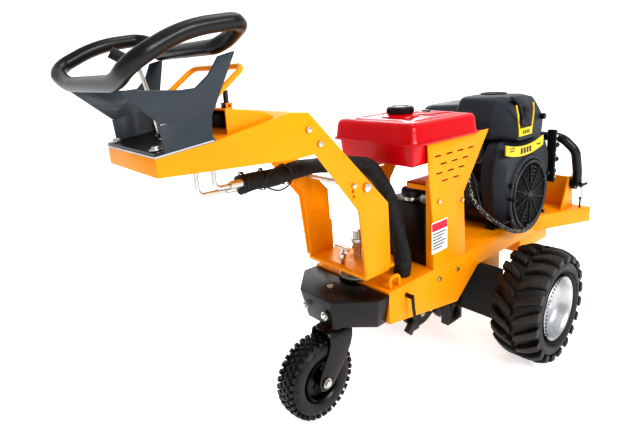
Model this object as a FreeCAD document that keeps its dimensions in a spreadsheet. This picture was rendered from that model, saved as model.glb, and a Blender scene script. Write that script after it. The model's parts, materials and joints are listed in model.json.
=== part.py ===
import FreeCAD, Part
import math
import os
import Sketcher
from FreeCAD import Placement, Rotation, Vector

# Self-propelled stump grinder: engine and drive wheels at +X, operator handles and caster at -X.
# Frame: +Z up, +X forward, +Y left. The origin is on the ground under the drive axle.

doc = FreeCAD.newDocument("StumpGrinder")
sheet = doc.addObject("Spreadsheet::Sheet", "Dims")

DRIVING = dict(
    # running gear
    wheel_radius=203, wheel_width=165, wheel_track=337, rim_radius=108, rim_lip=114,
    motor_radius=44, axle_radius=14, hub_radius=46, hub_face=338, nut_circle=32,
    caster_radius=130, caster_width=85, caster_rim_radius=62, caster_trail=80, caster_pivot=683,
    caster_stem=15, caster_axle=8, running_gap=0.05, side_gap=1.0,
    # chassis weldment and deck
    plate=8, sheet_steel=5, chassis_half=163, chassis_rear=598, deck_top=400, deck_thick=8,
    flare_start=338, flare_end=608, flare_half=281, skirt_depth=65,
    rear_depth=102, belly_depth=164, belly_reach=240, notch_reach=110, notch_depth=69,
    bumper_nose=748, bumper_half=165, bumper_tuck=16, bumper_depth=93,
    # swivel column and arm
    column_back=560, hub_flange=62, hub_pipe=36, index_radius=80, index_level=440,
    arm_half=133, arm_foot=462, arm_pivot_back=650, arm_pivot_level=728, arm_hole=5.5, lock_reach=52,
    arm_end=1228, arm_end_level=904, console_depth=38, arm_peak_back=842, arm_peak_level=954,
    bolt_radius=8,
    # handles
    tube_radius=16, bail_radius=6.5, handle_back=1285, handle_front=1078,
    handle_low=1050, handle_high=1110, grip_half=232,
    # tank
    tank_back=490, tank_front=120, tank_half=176, tank_seam=823, tank_top=888, tank_floor=748,
    cap_radius=45, cap_back=335, post_back=398, post_foot=196,
    # engine
    crank_reach=222, crank_level=528, engine_face=188, engine_half=206, fan_radius=122,
    engine_top=912, pulley_radius=52, pulley_plane=208, pulley_width=26,
    # cutter
    cutter_back=240, cutter_level=195, cutter_disc=108, cutter_reach=140, cutter_thick=24,
    cutter_pulley=64, shaft_radius=17.5,
    # guard hoop
    hoop_radius=19, hoop_pivot_reach=560, hoop_pivot_level=506, hoop_half=262,
)

for row, (alias, value) in enumerate(DRIVING.items(), start=1):
    sheet.set(f"A{row}", alias)
    sheet.set(f"B{row}", str(value))
    sheet.setAlias(f"B{row}", alias)
doc.recompute()


class Size:
    """A length together with the sheet expression that it is worked out by."""

    def __init__(self, value, text=None):
        self.value = float(value)
        self.text = text or f"({float(value)!r})"

    def __add__(self, other):
        other = size(other)
        return Size(self.value + other.value, f"({self.text} + {other.text})")

    def __sub__(self, other):
        other = size(other)
        return Size(self.value - other.value, f"({self.text} - {other.text})")

    def __mul__(self, factor):
        return Size(self.value * factor, f"({self.text} * {float(factor)!r})")

    def __neg__(self):
        return Size(-self.value, f"(0 - {self.text})")

    __radd__ = __add__
    __rmul__ = __mul__

    def __rsub__(self, other):
        return size(other) - self


def size(value):
    return value if isinstance(value, Size) else Size(value)


class Dims:
    """Reads a driving dimension of the sheet by its alias."""

    def __getattr__(self, alias):
        return Size(DRIVING[alias], f"Dims.{alias}")


d = Dims()
# Side-to-side place of the key and knobs on the engine's panel.
PANEL_Y = -184
# Pins that the two levers tilt on: distance along the machine and height.
FEED_PIVOT = (-1150, 927.6)
LIFT_PIVOT = (-985, 980.4)
# The arm's three height holes lie on an arc about its pivot, this many degrees apart.
LOCK_ANGLE = 164
LOCK_STEP = 17
nodes = {}

TURN = {
    "Z": Rotation(),
    "Y": Rotation(Vector(0, 0, 1), Vector(0, 1, 0)),
    "-Y": Rotation(Vector(0, 0, 1), Vector(0, -1, 0)),
    "X": Rotation(Vector(0, 0, 1), Vector(1, 0, 0)),
    "-X": Rotation(Vector(0, 0, 1), Vector(-1, 0, 0)),
}


def bind(item, prop, value):
    item.setExpression(prop, size(value).text)


def put(item, x=0, y=0, z=0, turn=None):
    """Places an object at bound coordinates, with its own +Z turned to an axis."""
    item.Placement = Placement(Vector(size(x).value, size(y).value, size(z).value), turn or Rotation())
    for axis, value in zip("xyz", (x, y, z)):
        bind(item, f".Placement.Base.{axis}", value)
    return item


def block(x, y, z):
    """A plate or bar between low and high bounds along each axis."""
    item = doc.addObject("Part::Box", "Block")
    for prop, (low, high) in zip(("Length", "Width", "Height"), (x, y, z)):
        bind(item, prop, size(high) - low)
    return put(item, x[0], y[0], z[0])


def rod(radius, length, x, y, z, axis="Z"):
    item = doc.addObject("Part::Cylinder", "Rod")
    bind(item, "Radius", radius)
    bind(item, "Height", length)
    return put(item, x, y, z, TURN[axis])


def hexagon(radius, length, x, y, z, axis="Z"):
    item = doc.addObject("Part::Prism", "Hexagon")
    item.Polygon = 6
    bind(item, "Circumradius", radius)
    bind(item, "Height", length)
    return put(item, x, y, z, TURN[axis])


def draw(body, plane, points, start, circles=()):
    """A closed outline of bound corners, and bound circles, on one of the body's planes."""
    sketch = body.newObject("Sketcher::SketchObject", "Outline")
    origin = next(item for item in body.Origin.OriginFeatures if item.Role == plane)
    sketch.AttachmentSupport = [(origin, "")]
    sketch.MapMode = "FlatFace"
    bind(sketch, ".AttachmentOffset.Base.z", start)
    corners = [Vector(size(x).value, size(y).value, 0) for x, y in points]
    for index, corner in enumerate(corners):
        sketch.addGeometry(Part.LineSegment(corner, corners[(index + 1) % len(corners)]))
    for index in range(len(corners)):
        sketch.addConstraint(Sketcher.Constraint("Coincident", index, 2, (index + 1) % len(corners), 1))
    for index, (x, y) in enumerate(points):
        for kind, value in (("DistanceX", x), ("DistanceY", y)):
            number = sketch.addConstraint(
                Sketcher.Constraint(kind, -1, 1, index, 1, size(value).value))
            bind(sketch, f"Constraints[{number}]", value)
    for x, y, radius in circles:
        centre = Vector(size(x).value, size(y).value, 0)
        circle = sketch.addGeometry(Part.Circle(centre, Vector(0, 0, 1), size(radius).value))
        for kind, value in (("DistanceX", x), ("DistanceY", y)):
            number = sketch.addConstraint(
                Sketcher.Constraint(kind, -1, 1, circle, 3, size(value).value))
            bind(sketch, f"Constraints[{number}]", value)
        number = sketch.addConstraint(Sketcher.Constraint("Radius", circle, size(radius).value))
        bind(sketch, f"Constraints[{number}]", radius)
    return sketch


def plate(plane, points, low, high, circles=()):
    """A flat plate: an outline on XY, XZ or YZ, thick from low to high along the third axis."""
    body = doc.addObject("PartDesign::Body", "Plate")
    start = -size(high) if plane == "XZ" else size(low)
    sketch = draw(body, f"{plane}_Plane", points, start, circles)
    pad = body.newObject("PartDesign::Pad", "Thickness")
    pad.Profile = sketch
    bind(pad, "Length", size(high) - low)
    body.Tip = pad
    return body


def turned(profile, x, y, z, axis="Z"):
    """A turned piece: (radius, height) corners spun about its axis through a point."""
    body = doc.addObject("PartDesign::Body", "Turned")
    sketch = draw(body, "XZ_Plane", profile, 0)
    spin = body.newObject("PartDesign::Revolution", "Spin")
    spin.Profile = sketch
    spin.ReferenceAxis = (sketch, ["V_Axis"])
    spin.Angle = 360
    body.Tip = spin
    return put(body, x, y, z, TURN[axis])


def fuse(*items):
    item = doc.addObject("Part::MultiFuse", "Welded")
    item.Shapes = list(items)
    return item


def cut(base, *tools):
    item = doc.addObject("Part::Cut", "Cut")
    item.Base = base
    item.Tool = tools[0] if len(tools) == 1 else fuse(*tools)
    return item


def group(*items):
    item = doc.addObject("Part::Compound", "Set")
    item.Links = list(items)
    return item


def solid(shape):
    item = doc.addObject("Part::Feature", "Formed")
    item.Shape = shape
    return item


def vector(point):
    return Vector(*(size(value).value for value in point))


def path(points, bend, closed=False):
    """Straight runs joined by tangent arcs. The bend is a radius, or a share of the shorter run."""
    spots = [vector(point) for point in points]
    count = len(spots)
    edges = []
    last = None
    first = None
    for index, spot in enumerate(spots):
        if not closed and index in (0, count - 1):
            if last is not None:
                edges.append(Part.LineSegment(last, spot).toShape())
            last = spot
            continue
        before = (spots[index - 1] - spot)
        after = (spots[(index + 1) % count] - spot)
        half_turn = (math.pi - before.getAngle(after)) / 2
        longest = 0.45 * min(before.Length, after.Length)
        reach = min(longest, bend * math.tan(half_turn)) if bend else longest
        inward = spot + before.normalize() * reach
        outward = spot + after.normalize() * reach
        radius = reach / math.tan(half_turn)
        bisector = (before + after).normalize()
        middle = spot + bisector * (radius / math.cos(half_turn) - radius)
        if last is not None:
            edges.append(Part.LineSegment(last, inward).toShape())
        else:
            first = inward
        edges.append(Part.Arc(inward, middle, outward).toShape())
        last = outward
    if closed:
        edges.append(Part.LineSegment(last, first).toShape())
    return Part.Wire(edges)


def bent(points, radius, bend=None, closed=False, bore=0):
    """A bent tube or bar of round section along a path."""
    wire = path(points, size(bend).value if bend else None, closed)
    start = wire.Edges[0].Vertexes[0].Point
    way = wire.Edges[0].tangentAt(wire.Edges[0].FirstParameter)
    ring = Part.Wire(Part.makeCircle(size(radius).value, start, way))
    body = wire.makePipeShell([ring], True, False)
    if bore:
        inner = Part.Wire(Part.makeCircle(size(bore).value, start, way))
        body = body.cut(wire.makePipeShell([inner], True, False))
    return solid(body)


def keep(name, item):
    """Names a finished piece, which becomes one file."""
    item.Label = name
    nodes[name] = item
    return item


def chassis():
    """Welded frame: side plates, cross plates, axle cheeks and the caster socket."""
    inner = d.chassis_half - d.plate
    under = d.deck_top - d.deck_thick
    outline = [
        (-d.chassis_rear, under),
        (-d.chassis_rear, d.deck_top - d.rear_depth),
        (-d.belly_reach, d.deck_top - d.belly_depth),
        (-d.notch_reach, d.deck_top - d.notch_depth),
        (d.flare_start, d.deck_top - d.notch_depth),
        (d.flare_start, under),
    ]
    cheek_reach = d.motor_radius + 16
    cheek = [
        (-cheek_reach, under),
        (-cheek_reach, d.wheel_radius),
        (-d.motor_radius, d.wheel_radius - d.motor_radius),
        (d.motor_radius, d.wheel_radius - d.motor_radius),
        (cheek_reach, d.wheel_radius),
        (cheek_reach, under),
    ]
    parts = []
    for side in (-1, 1):
        low, high = sorted((inner * side, d.chassis_half * side), key=lambda item: item.value)
        parts.append(plate("XZ", outline, low, high))
        low, high = sorted((inner * side, (inner - d.plate) * side), key=lambda item: item.value)
        parts.append(plate("XZ", cheek, low, high))
    bulkhead = (-d.chassis_rear, -d.chassis_rear + d.plate)
    parts.append(block(bulkhead, (-inner, inner), (d.deck_top - d.rear_depth, under)))
    brace = (d.wheel_radius + d.motor_radius + 10, d.wheel_radius + d.motor_radius + 18)
    parts.append(block((-cheek_reach, cheek_reach), (d.plate - inner, inner - d.plate), brace))
    shelf_level = d.deck_top - d.rear_depth + 4
    shelf = block((-d.caster_pivot - 34, -d.chassis_rear), (-44, 44), (shelf_level, shelf_level + d.plate))
    socket_foot = 2 * d.caster_radius + 16 + 0.3
    socket_top = under - d.sheet_steel - 4
    socket = rod(d.caster_stem + 9, socket_top - socket_foot, -d.caster_pivot, 0, socket_foot)
    bore = rod(d.caster_stem, socket_top - socket_foot - 8, -d.caster_pivot, 0, socket_foot)
    frame = cut(fuse(*parts, shelf, socket), bore)
    keep("chassis_frame", frame)


def deck():
    """Deck plate that flares out behind the engine, with a turned-down skirt round the flare."""
    half = d.chassis_half
    wide = d.flare_half
    under = d.deck_top - d.deck_thick
    outline = [
        (-d.chassis_rear, -half), (d.flare_start, -half), (d.flare_end, -wide),
        (d.flare_end, wide), (d.flare_start, half), (-d.chassis_rear, half),
    ]
    top = plate("XY", outline, under, d.deck_top)
    lip = d.plate * 1.1
    skirt_foot = d.deck_top - d.skirt_depth
    right = plate("XY", [(d.flare_start, -half), (d.flare_end, -wide), (d.flare_end, lip - wide),
                         (d.flare_start, lip - half)], skirt_foot, under)
    left = plate("XY", [(d.flare_start, half), (d.flare_end, wide), (d.flare_end, wide - lip),
                        (d.flare_start, half - lip)], skirt_foot, under)
    end = block((d.flare_end - d.plate, d.flare_end), (lip - wide, wide - lip), (skirt_foot, under))
    keep("deck", fuse(top, right, left, end))


def bumper():
    """Faceted steel nose over the caster socket, open underneath."""
    top = d.deck_top - 7
    foot = top - d.bumper_depth

    def ring(level, inset, tuck):
        rear = -d.chassis_rear
        corners = [
            (rear, tuck - d.bumper_half + inset), (rear - 54 + tuck, tuck - d.bumper_half + inset),
            (-d.bumper_nose + tuck + inset, inset + tuck - 70),
            (-d.bumper_nose + tuck + inset, 70 - inset - tuck),
            (rear - 54 + tuck, d.bumper_half - inset - tuck), (rear, d.bumper_half - inset - tuck),
        ]
        spots = [vector((x, y, level)) for x, y in corners]
        return Part.makePolygon(spots + spots[:1])

    outside = Part.makeLoft([ring(top, 0, 0), ring(foot, 0, d.bumper_tuck)], True, True)
    wall = d.sheet_steel
    inside = Part.makeLoft([ring(top - wall, wall, 0), ring(foot - 1, wall, d.bumper_tuck)], True, True)
    keep("bumper", solid(outside.cut(inside)))


def caster():
    """Swivelling fork with its stem, and a pneumatic wheel on a bolt."""
    back = d.caster_pivot + d.caster_trail
    crown = 2 * d.caster_radius + 8
    leg_in = d.caster_width * 0.5 + 6
    leg_out = leg_in + d.sheet_steel
    pivot = -d.caster_pivot
    outline = [
        (pivot - 58, crown), (pivot - 62, crown - 60), (-back + 26, d.caster_radius + 52),
        (-back - 20, d.caster_radius + 24), (-back - 22, d.caster_radius - 16),
        (-back + 14, d.caster_radius - 26), (pivot + 5, d.caster_radius + 20),
        (pivot + 46, crown - 66), (pivot + 50, crown),
    ]
    hole = [(-back, d.caster_radius, d.caster_axle + d.running_gap)]
    right = plate("XZ", outline, -leg_out, -leg_in, hole)
    left = plate("XZ", outline, leg_in, leg_out, hole)
    top = block((pivot - 58, pivot + 50), (-leg_out, leg_out), (crown, crown + 8))
    stem = rod(d.caster_stem - d.running_gap, 88, pivot, 0, crown + 8)
    keep("caster_fork", fuse(right, left, top, stem))
    grip = leg_out + 0.2
    shank = rod(d.caster_axle, grip * 2, -back, -grip, d.caster_radius, "Y")
    head = hexagon(d.caster_axle * 1.45, 9, -back, -grip - 9, d.caster_radius, "Y")
    nut = hexagon(d.caster_axle * 1.45, 9, -back, grip, d.caster_radius, "Y")
    keep("caster_axle", fuse(shank, head, nut))
    half = d.caster_width * 0.5
    bore = d.caster_axle + d.running_gap
    seat = d.caster_rim_radius
    rim = turned([
        (bore, -half), (bore + 10, -half), (bore + 10, -6), (seat - 8, -6), (seat - 8, 6 - half),
        (seat + 5, 2 - half), (seat + 5, 6 - half), (seat, 10 - half), (seat, half - 10),
        (seat + 5, half - 6), (seat + 5, half - 2), (seat - 8, half - 6), (seat - 8, 6),
        (bore + 10, 6), (bore + 10, half), (bore, half),
    ], -back, 0, d.caster_radius, "Y")
    keep("caster_rim", rim)
    keep("caster_tyre", tyre(d.caster_radius, half, seat + 0.1, -back, 0, d.caster_radius, 10))


def tyre(radius, half, seat, x, y, z, bead):
    """A pneumatic tyre as one closed ring with rounded shoulders."""
    return turned([
        (seat, bead - half), (seat + 14, bead - half - 5), (radius * 0.74, -half),
        (radius * 0.92, 0.14 * half - half), (radius * 0.98, 0.4 * half - half), (radius, 0.6 * half - half),
        (radius, half - 0.6 * half), (radius * 0.98, half - 0.4 * half), (radius * 0.92, half - 0.14 * half),
        (radius * 0.74, half), (seat + 14, half - bead + 5), (seat, half - bead),
    ], x, y, z, "Y")


def drive_wheel(name, side):
    """A rim with its nuts, and a lugged tyre, on one side's motor shaft."""
    centre = d.wheel_track * side
    seat = d.rim_radius
    half = d.wheel_width * 0.5
    hub = d.hub_face - d.wheel_track
    turn = "Y" if side > 0 else "-Y"
    bore = d.axle_radius + d.running_gap
    rim = turned([
        (bore, hub - 12), (seat - 26, hub - 12), (seat - 10, 22 - half), (seat - 10, 14 - half),
        (d.rim_lip, 8 - half), (d.rim_lip, 11 - half), (seat, 16 - half), (seat, half - 16),
        (d.rim_lip, half - 11), (d.rim_lip, half - 8), (seat - 10, half - 14), (seat - 10, half - 20),
        (seat - 26, hub - 4), (d.hub_radius, hub - 4), (d.hub_radius, hub + 2), (bore, hub + 2),
    ], 0, centre, d.wheel_radius, turn)
    nuts = []
    for corner in range(4):
        angle = math.radians(45 + 90 * corner)
        nuts.append(hexagon(9, 8, d.nut_circle * math.cos(angle), (d.hub_face + 2) * side,
                            d.wheel_radius + d.nut_circle * math.sin(angle), turn))
    keep(f"drive_rim_{name}", group(rim, *nuts))
    ring = tyre(d.wheel_radius, half, seat + 0.1, 0, centre, d.wheel_radius, 16)
    keep(f"drive_tyre_{name}", ring)


def motors():
    """Hydraulic wheel motors bolted to the axle cheeks, with their output shafts."""
    pieces = []
    for side, axis in ((-1, "-Y"), (1, "Y")):
        level = d.wheel_radius
        flange = d.chassis_half - d.plate
        body = rod(d.motor_radius, d.hub_face - 60 - flange, 0, flange * side, level, axis)
        shaft = rod(d.axle_radius, d.hub_face + 14 - flange, 0, flange * side, level, axis)
        pieces.append(fuse(body, shaft))
    keep("wheel_motors", group(*pieces))


def column():
    """Zinc hub of the steering column: flange, pipe, index plate and king pin."""
    back = -d.column_back
    flange = rod(d.hub_flange, 10, back, 0, d.deck_top)
    pipe = rod(d.hub_pipe, d.index_level - d.deck_top - 10, back, 0, d.deck_top + 10)
    root = d.index_radius - 21
    index = rod(root, 8, back, 0, d.index_level)
    teeth = []
    for step in range(6):
        middle = 180 + 22.5 * (step - 2.5)
        corners = []
        for reach, turn in ((root - 0.05, -4.6), (d.index_radius, -5.2), (d.index_radius, 5.2), (root - 0.05, 4.6)):
            angle = math.radians(middle + turn)
            corners.append((back + reach * math.cos(angle), reach * math.sin(angle)))
        teeth.append(plate("XY", corners, d.index_level, d.index_level + 8))
    pin = rod(12, 100, back, 0, d.index_level + 8)
    nut = hexagon(20, 14, back, 0, d.index_level + 8 + 60)
    keep("column_hub", group(fuse(flange, pipe, index, pin, nut), *[cut(tooth, index) for tooth in teeth]))


def yoke():
    """Turning yoke on the column, whose cheeks carry the arm's pivot bolt."""
    back = -d.column_back
    foot = d.index_level + 8 + 0.3
    cheek_out = d.arm_half - d.sheet_steel - d.side_gap
    cheek_in = cheek_out - d.plate
    pivot = (-d.arm_pivot_back, d.arm_pivot_level)
    outline = [
        (back - 96, foot), (back + 6, foot), (back + 4, foot + 110), (pivot[0] + 14, pivot[1] - 120),
        (pivot[0] + 12, pivot[1] - 20), (pivot[0] + 12, pivot[1] + 3), (pivot[0] + 4, pivot[1] + 13),
        (pivot[0] - 14, pivot[1] + 19),
        (pivot[0] - 66, pivot[1] + 28), (pivot[0] - 66, pivot[1] - 6),
        (pivot[0] - 24, pivot[1] - 50), (back - 96, foot + 60),
    ]
    turn = math.radians(LOCK_ANGLE)
    lock = (pivot[0] + d.lock_reach * math.cos(turn), pivot[1] + d.lock_reach * math.sin(turn), d.arm_hole)
    holes = [(pivot[0], pivot[1], d.bolt_radius), lock]
    cheeks = [plate("XZ", outline, -cheek_out, -cheek_in, holes),
              plate("XZ", outline, cheek_in, cheek_out, holes)]
    base = block((back - 96, back + 6 + 34), (-cheek_in, cheek_in), (foot, foot + 10))
    king = rod(12 + d.running_gap, 12, back, 0, foot - 1)
    plunger = rod(6 + d.running_gap, 12, back - d.index_radius + 14, 0, foot - 1)
    keep("steering_yoke", cut(fuse(base, *cheeks), king, plunger))
    bolt = rod(d.bolt_radius, (d.arm_half + 0.5) * 2, pivot[0], -d.arm_half - 0.5, pivot[1], "Y")
    head = hexagon(14, 8, pivot[0], -d.arm_half - 8.5, pivot[1], "Y")
    nut = hexagon(14, 8, pivot[0], d.arm_half + 0.5, pivot[1], "Y")
    keep("arm_pivot_bolt", fuse(bolt, head, nut))
    reach = back - d.index_radius + 14
    tip = rod(6, 40, reach, 0, d.index_level + 8.3)
    collar = rod(11, 16, reach, 0, foot + 26)
    handle = rod(5, 60, reach, -30, foot + 60, "Y")
    stem = rod(5, 20, reach, 0, foot + 42)
    keep("lock_plunger", fuse(tip, collar, stem, handle))


def arm():
    """Steering arm: two cheek plates with the roof, floor and end sheets of the console."""
    sheet_in = d.sheet_steel
    end = -d.arm_end
    level = d.arm_end_level
    peak = (-d.arm_peak_back, d.arm_peak_level)
    leg_out = (-d.column_back + 1, 663)
    pivot = (-d.arm_pivot_back, d.arm_pivot_level)
    outline = [
        (end, level - d.console_depth), (end, level), (end + 124, level + 15), (end + 331, level + 54),
        peak, leg_out, (-d.column_back + 7, d.arm_foot), (-d.column_back - 99, d.arm_foot + 3),
        (-d.column_back - 120, 665), (-827, 850), (end + 343, level - 57),
    ]
    holes = [(pivot[0], pivot[1], d.bolt_radius + d.running_gap)]
    for step in range(3):
        turn = math.radians(LOCK_ANGLE + LOCK_STEP * step)
        holes.append((pivot[0] + d.lock_reach * math.cos(turn), pivot[1] + d.lock_reach * math.sin(turn),
                      d.arm_hole))
    cheek_in = d.arm_half - sheet_in
    right = plate("XZ", outline, -d.arm_half, -cheek_in, holes)
    left = plate("XZ", outline, cheek_in, d.arm_half, holes)
    roof = plate("XZ", [
        (end, level), (end + 124, level + 15), (end + 331, level + 54), peak,
        (peak[0] - 2, peak[1] - 6), (end + 331, level + 48), (end + 124, level + 9), (end, level - 6),
    ], -cheek_in, cheek_in)
    brink = (peak[0] + 96, peak[1] - 99)
    slope = plate("XZ", [peak, brink, (brink[0] - 5, brink[1] - 4), (peak[0] - 5, peak[1] - 5)],
                  -cheek_in, cheek_in)
    floor = plate("XZ", [
        (end, level - d.console_depth), (end + 343, level - 57), (end + 343, level - 52),
        (end, level - d.console_depth + 5),
    ], -cheek_in, cheek_in)
    cap = block((end, end + sheet_in), (-cheek_in, cheek_in), (level - d.console_depth, level - 1))
    keep("arm_shell", fuse(right, left, roof, slope, floor, cap))


def console():
    """What stands on the arm's tail: valve, cover, handle brackets, levers and bail."""
    end = -d.arm_end
    level = d.arm_end_level
    cover_out = d.arm_half - 18
    outer = [(end + 172, level + 24.1), (end + 172, level + 80), (end + 273, level + 62),
             (end + 298, level + 47.8)]
    inner = [(end + 168, level + 23.3), (end + 168, level + 76), (end + 270, level + 58),
             (end + 284, level + 45.1)]
    shell = cut(plate("XZ", outer, -cover_out, cover_out), plate("XZ", inner, 4 - cover_out, cover_out - 4))
    keep("valve_cover", fuse(shell, *lugs(LIFT_PIVOT, 0, 8.6, 11.5)))
    keep("valve_block", block((end + 190, end + 240), (-60, 60), (level + 37.2, level + 62)))

    base_top = 6
    base = plate("XZ", [
        (end, level + 0.1), (end + 124, level + 15.1), (end + 131, level + 16.4),
        (end + 131, level + 16.4 + base_top), (end, level + base_top),
    ], -d.arm_half, d.arm_half)
    wall_in = d.arm_half - d.sheet_steel
    wings = []
    for side in (-1, 1):
        low, high = sorted((wall_in * side, d.arm_half * side), key=lambda item: item.value)
        wings.append(plate("XZ", [
            (end + 21, level + 6), (end + 126, level + 17), (end + 129, level + 75), (end + 17, level + 62),
        ], low, high))
        wings.append(wing(side))
    keep("handle_brackets", fuse(base, *lugs(FEED_PIVOT, 20, 7.6, 9), *wings))


def lugs(pivot, middle, reach, drop):
    """A pair of drilled ears that hold a lever's pivot pin."""
    ears = []
    for side in (-1, 1):
        low, high = sorted((middle + reach * side, middle + (reach + 5) * side))
        ear = block((pivot[0] - 8, pivot[0] + 8), (low, high), (pivot[1] - drop, pivot[1] + 7))
        ears.append(cut(ear, rod(3 + d.running_gap, 7, pivot[0], low - 1, pivot[1], "Y")))
    return ears


def wing(side):
    """Upper wall of a handle bracket: flared outwards, with a hollow between two horns."""
    end = -d.arm_end
    level = d.arm_end_level
    lean = 17
    bow = [(-d.handle_back + 1, 71), (end + 60, 64), (end + 90, 66), (end + 116, 90), (end + 136, 126),
           (-d.handle_front + 22, 136)]
    outline = [(end + 17, 0), (end + 128, 4)] + [(-d.handle_front + 22, 136)] + bow[::-1][1:]
    wall = plate("XZ", outline, 0, d.sheet_steel)
    wall.Placement = Placement(Vector(0, 0, 0), Rotation(Vector(1, 0, 0), lean * -side))
    bind(wall, ".Placement.Base.y", (d.arm_half * side) if side < 0 else d.arm_half - d.sheet_steel)
    bind(wall, ".Placement.Base.z", level + 64)
    return wall


def handles():
    """One closed tube: low operator bar, a raised grip each side, and the forward bar."""
    back = -d.handle_back
    front = -d.handle_front
    grip = d.grip_half
    points = []
    for side in (-1, 1):
        run = [
            (back - 2, 150 * side, d.handle_low), (back - 6, (grip + 4) * side, d.handle_low + 32),
            (front - 110, grip * side, d.handle_high + 26), (front + 8, (grip + 8) * side, d.handle_high + 42),
            (front + 14, 170 * side, d.handle_high + 14), (front, 140 * side, d.handle_high),
        ]
        points += run if side < 0 else run[::-1]
    keep("handle_tube", bent(points, d.tube_radius, closed=True))
    top = d.handle_low + 20
    bail_back = -1002
    pivot = (-1112, 945)
    bail = []
    bail += [(pivot[0], -118, pivot[1]), (-1096, -118, 998), (bail_back, -118, top)]
    bail += [(bail_back, 118, top), (-1096, 118, 998), (pivot[0], 118, pivot[1])]
    pins = [rod(6, 9.7, pivot[0], y, pivot[1], "Y") for y in (-127.7, 118)]
    keep("safety_bail", fuse(bent(bail, d.bail_radius, 22), *pins))


def levers():
    """Hand levers on the valve: a knobbed feed lever and a short lift lever."""
    keep("feed_lever", fuse(
        rod(7, 14, FEED_PIVOT[0], 13, FEED_PIVOT[1], "Y"), rod(3, 30, FEED_PIVOT[0], 5, FEED_PIVOT[1], "Y"),
        bent([(-1150, 20, 929), (-1163, 20, 1026), (-1176, 20, 1074)], 5, 60),
        bent([(-1176.5, 20, 1076), (-1204, 28, 1098), (-1226, 34, 1112)], 13, 40)))
    keep("lift_lever", fuse(
        rod(8, 16, LIFT_PIVOT[0], -8, LIFT_PIVOT[1], "Y"), rod(3, 28, LIFT_PIVOT[0], -14, LIFT_PIVOT[1], "Y"),
        rod(6, 1016.6 - LIFT_PIVOT[1], LIFT_PIVOT[0], 0, LIFT_PIVOT[1])))


def plumbing():
    """Steel pipes from the valve, the sleeved hoses along the arm, and the drop to the deck."""
    pipes = []
    for reach, start, drop, side in ((-1081, 857.5, 774, 8.4), (-1046, 855.5, 788, -13.2)):
        pipes.append(bent([(reach, side, start), (reach, side, drop), (-1006, side, drop)], 6, 20))
    ferrules = [rod(11, 34, -1006, 8.4, 774, "X"), rod(11, 34, -1006, -13.2, 788, "X")]
    keep("steel_pipes", group(*[fuse(pipe, ferrule) for pipe, ferrule in zip(pipes, ferrules)]))
    keep("hose_sleeve", bent([
        (-971.8, 0, 782), (-930, 0, 782), (-870, -8, 778), (-800, -4, 784), (-730, 4, 786), (-660, 2, 780),
    ], 21))
    keep("hose_drop", bent([
        (-656, 2, 779.2), (-590, -4, 766), (-524, -24, 748), (-490, -50, 690), (-470, -70, 600),
        (-468, -106, 480), (-468, -106, 400.2),
    ], 26))


def tank():
    """Pressed fuel tank on two posts, with a seam flange, a filler neck and its cap."""
    half = d.tank_half
    seam = d.tank_seam
    back = -d.tank_back
    front = -d.tank_front
    upper = Part.makeLoft([
        rectangle(back + 4, front - 4, half - 4, seam), rectangle(back + 10, front - 10, half - 10, seam + 46),
        rectangle(back + 24, front - 24, half - 24, d.tank_top - 4),
    ], True, True)
    lower = Part.makeLoft([
        rectangle(back + 26, front - 26, half - 28, d.tank_floor),
        rectangle(back + 14, front - 14, half - 20, seam - 4),
    ], True, True)
    flange = block((back, front), (-half, half), (seam - 4, seam))
    neck = rod(d.cap_radius - 8, 14, -d.cap_back, 0, d.tank_top - 7)
    keep("fuel_tank", fuse(solid(upper), solid(lower), flange, neck))
    keep("fuel_cap", rod(d.cap_radius, 24, -d.cap_back, 0, d.tank_top + 7.3))
    post = [
        (-379, d.deck_top), (-379, 536), (-d.post_back, 687), (-408, d.tank_seam - 4.3),
        (-57, d.tank_seam - 4.3), (-d.post_foot - 12, 624), (-d.post_foot, 448), (-d.post_foot, d.deck_top),
    ]
    wall = d.sheet_steel
    outer = d.chassis_half
    slots = []
    for row in range(4):
        for column in range(5):
            x = -372 + column * 62 + (row % 2) * 26 + row * 4
            if x < -d.post_foot.value + 60 - row * 30:
                slots.append(block((x, x + 34), (-outer - 2, outer + 2), (768 - row * 28, 773 - row * 28)))
    flange_in = outer - 30
    posts = []
    for side in (-1, 1):
        low, high = sorted((outer * side, (outer - wall) * side), key=lambda item: item.value)
        edge_low, edge_high = sorted(((outer - wall) * side, flange_in * side), key=lambda item: item.value)
        posts.append(fuse(plate("XZ", post, low, high),
                          block((-379, -379 + wall), (edge_low, edge_high), (d.deck_top, 700))))
    keep("tank_posts", group(*[cut(item, fuse(*slots)) for item in posts]))
    reservoir = block((-372, -262), (-126, 44), (d.deck_top + 0.1, d.deck_top + 206))
    neck = rod(24, 20, -338, -46, d.deck_top + 206)
    strainer = rod(32, 22, -338, -46, d.deck_top + 226)
    keep("oil_tank", fuse(reservoir, neck, strainer))


def rectangle(back, front, half, level):
    corners = [vector((x, y, level)) for x, y in ((back, -half), (front, -half), (front, half), (back, half))]
    return Part.makePolygon(corners + corners[:1])


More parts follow.
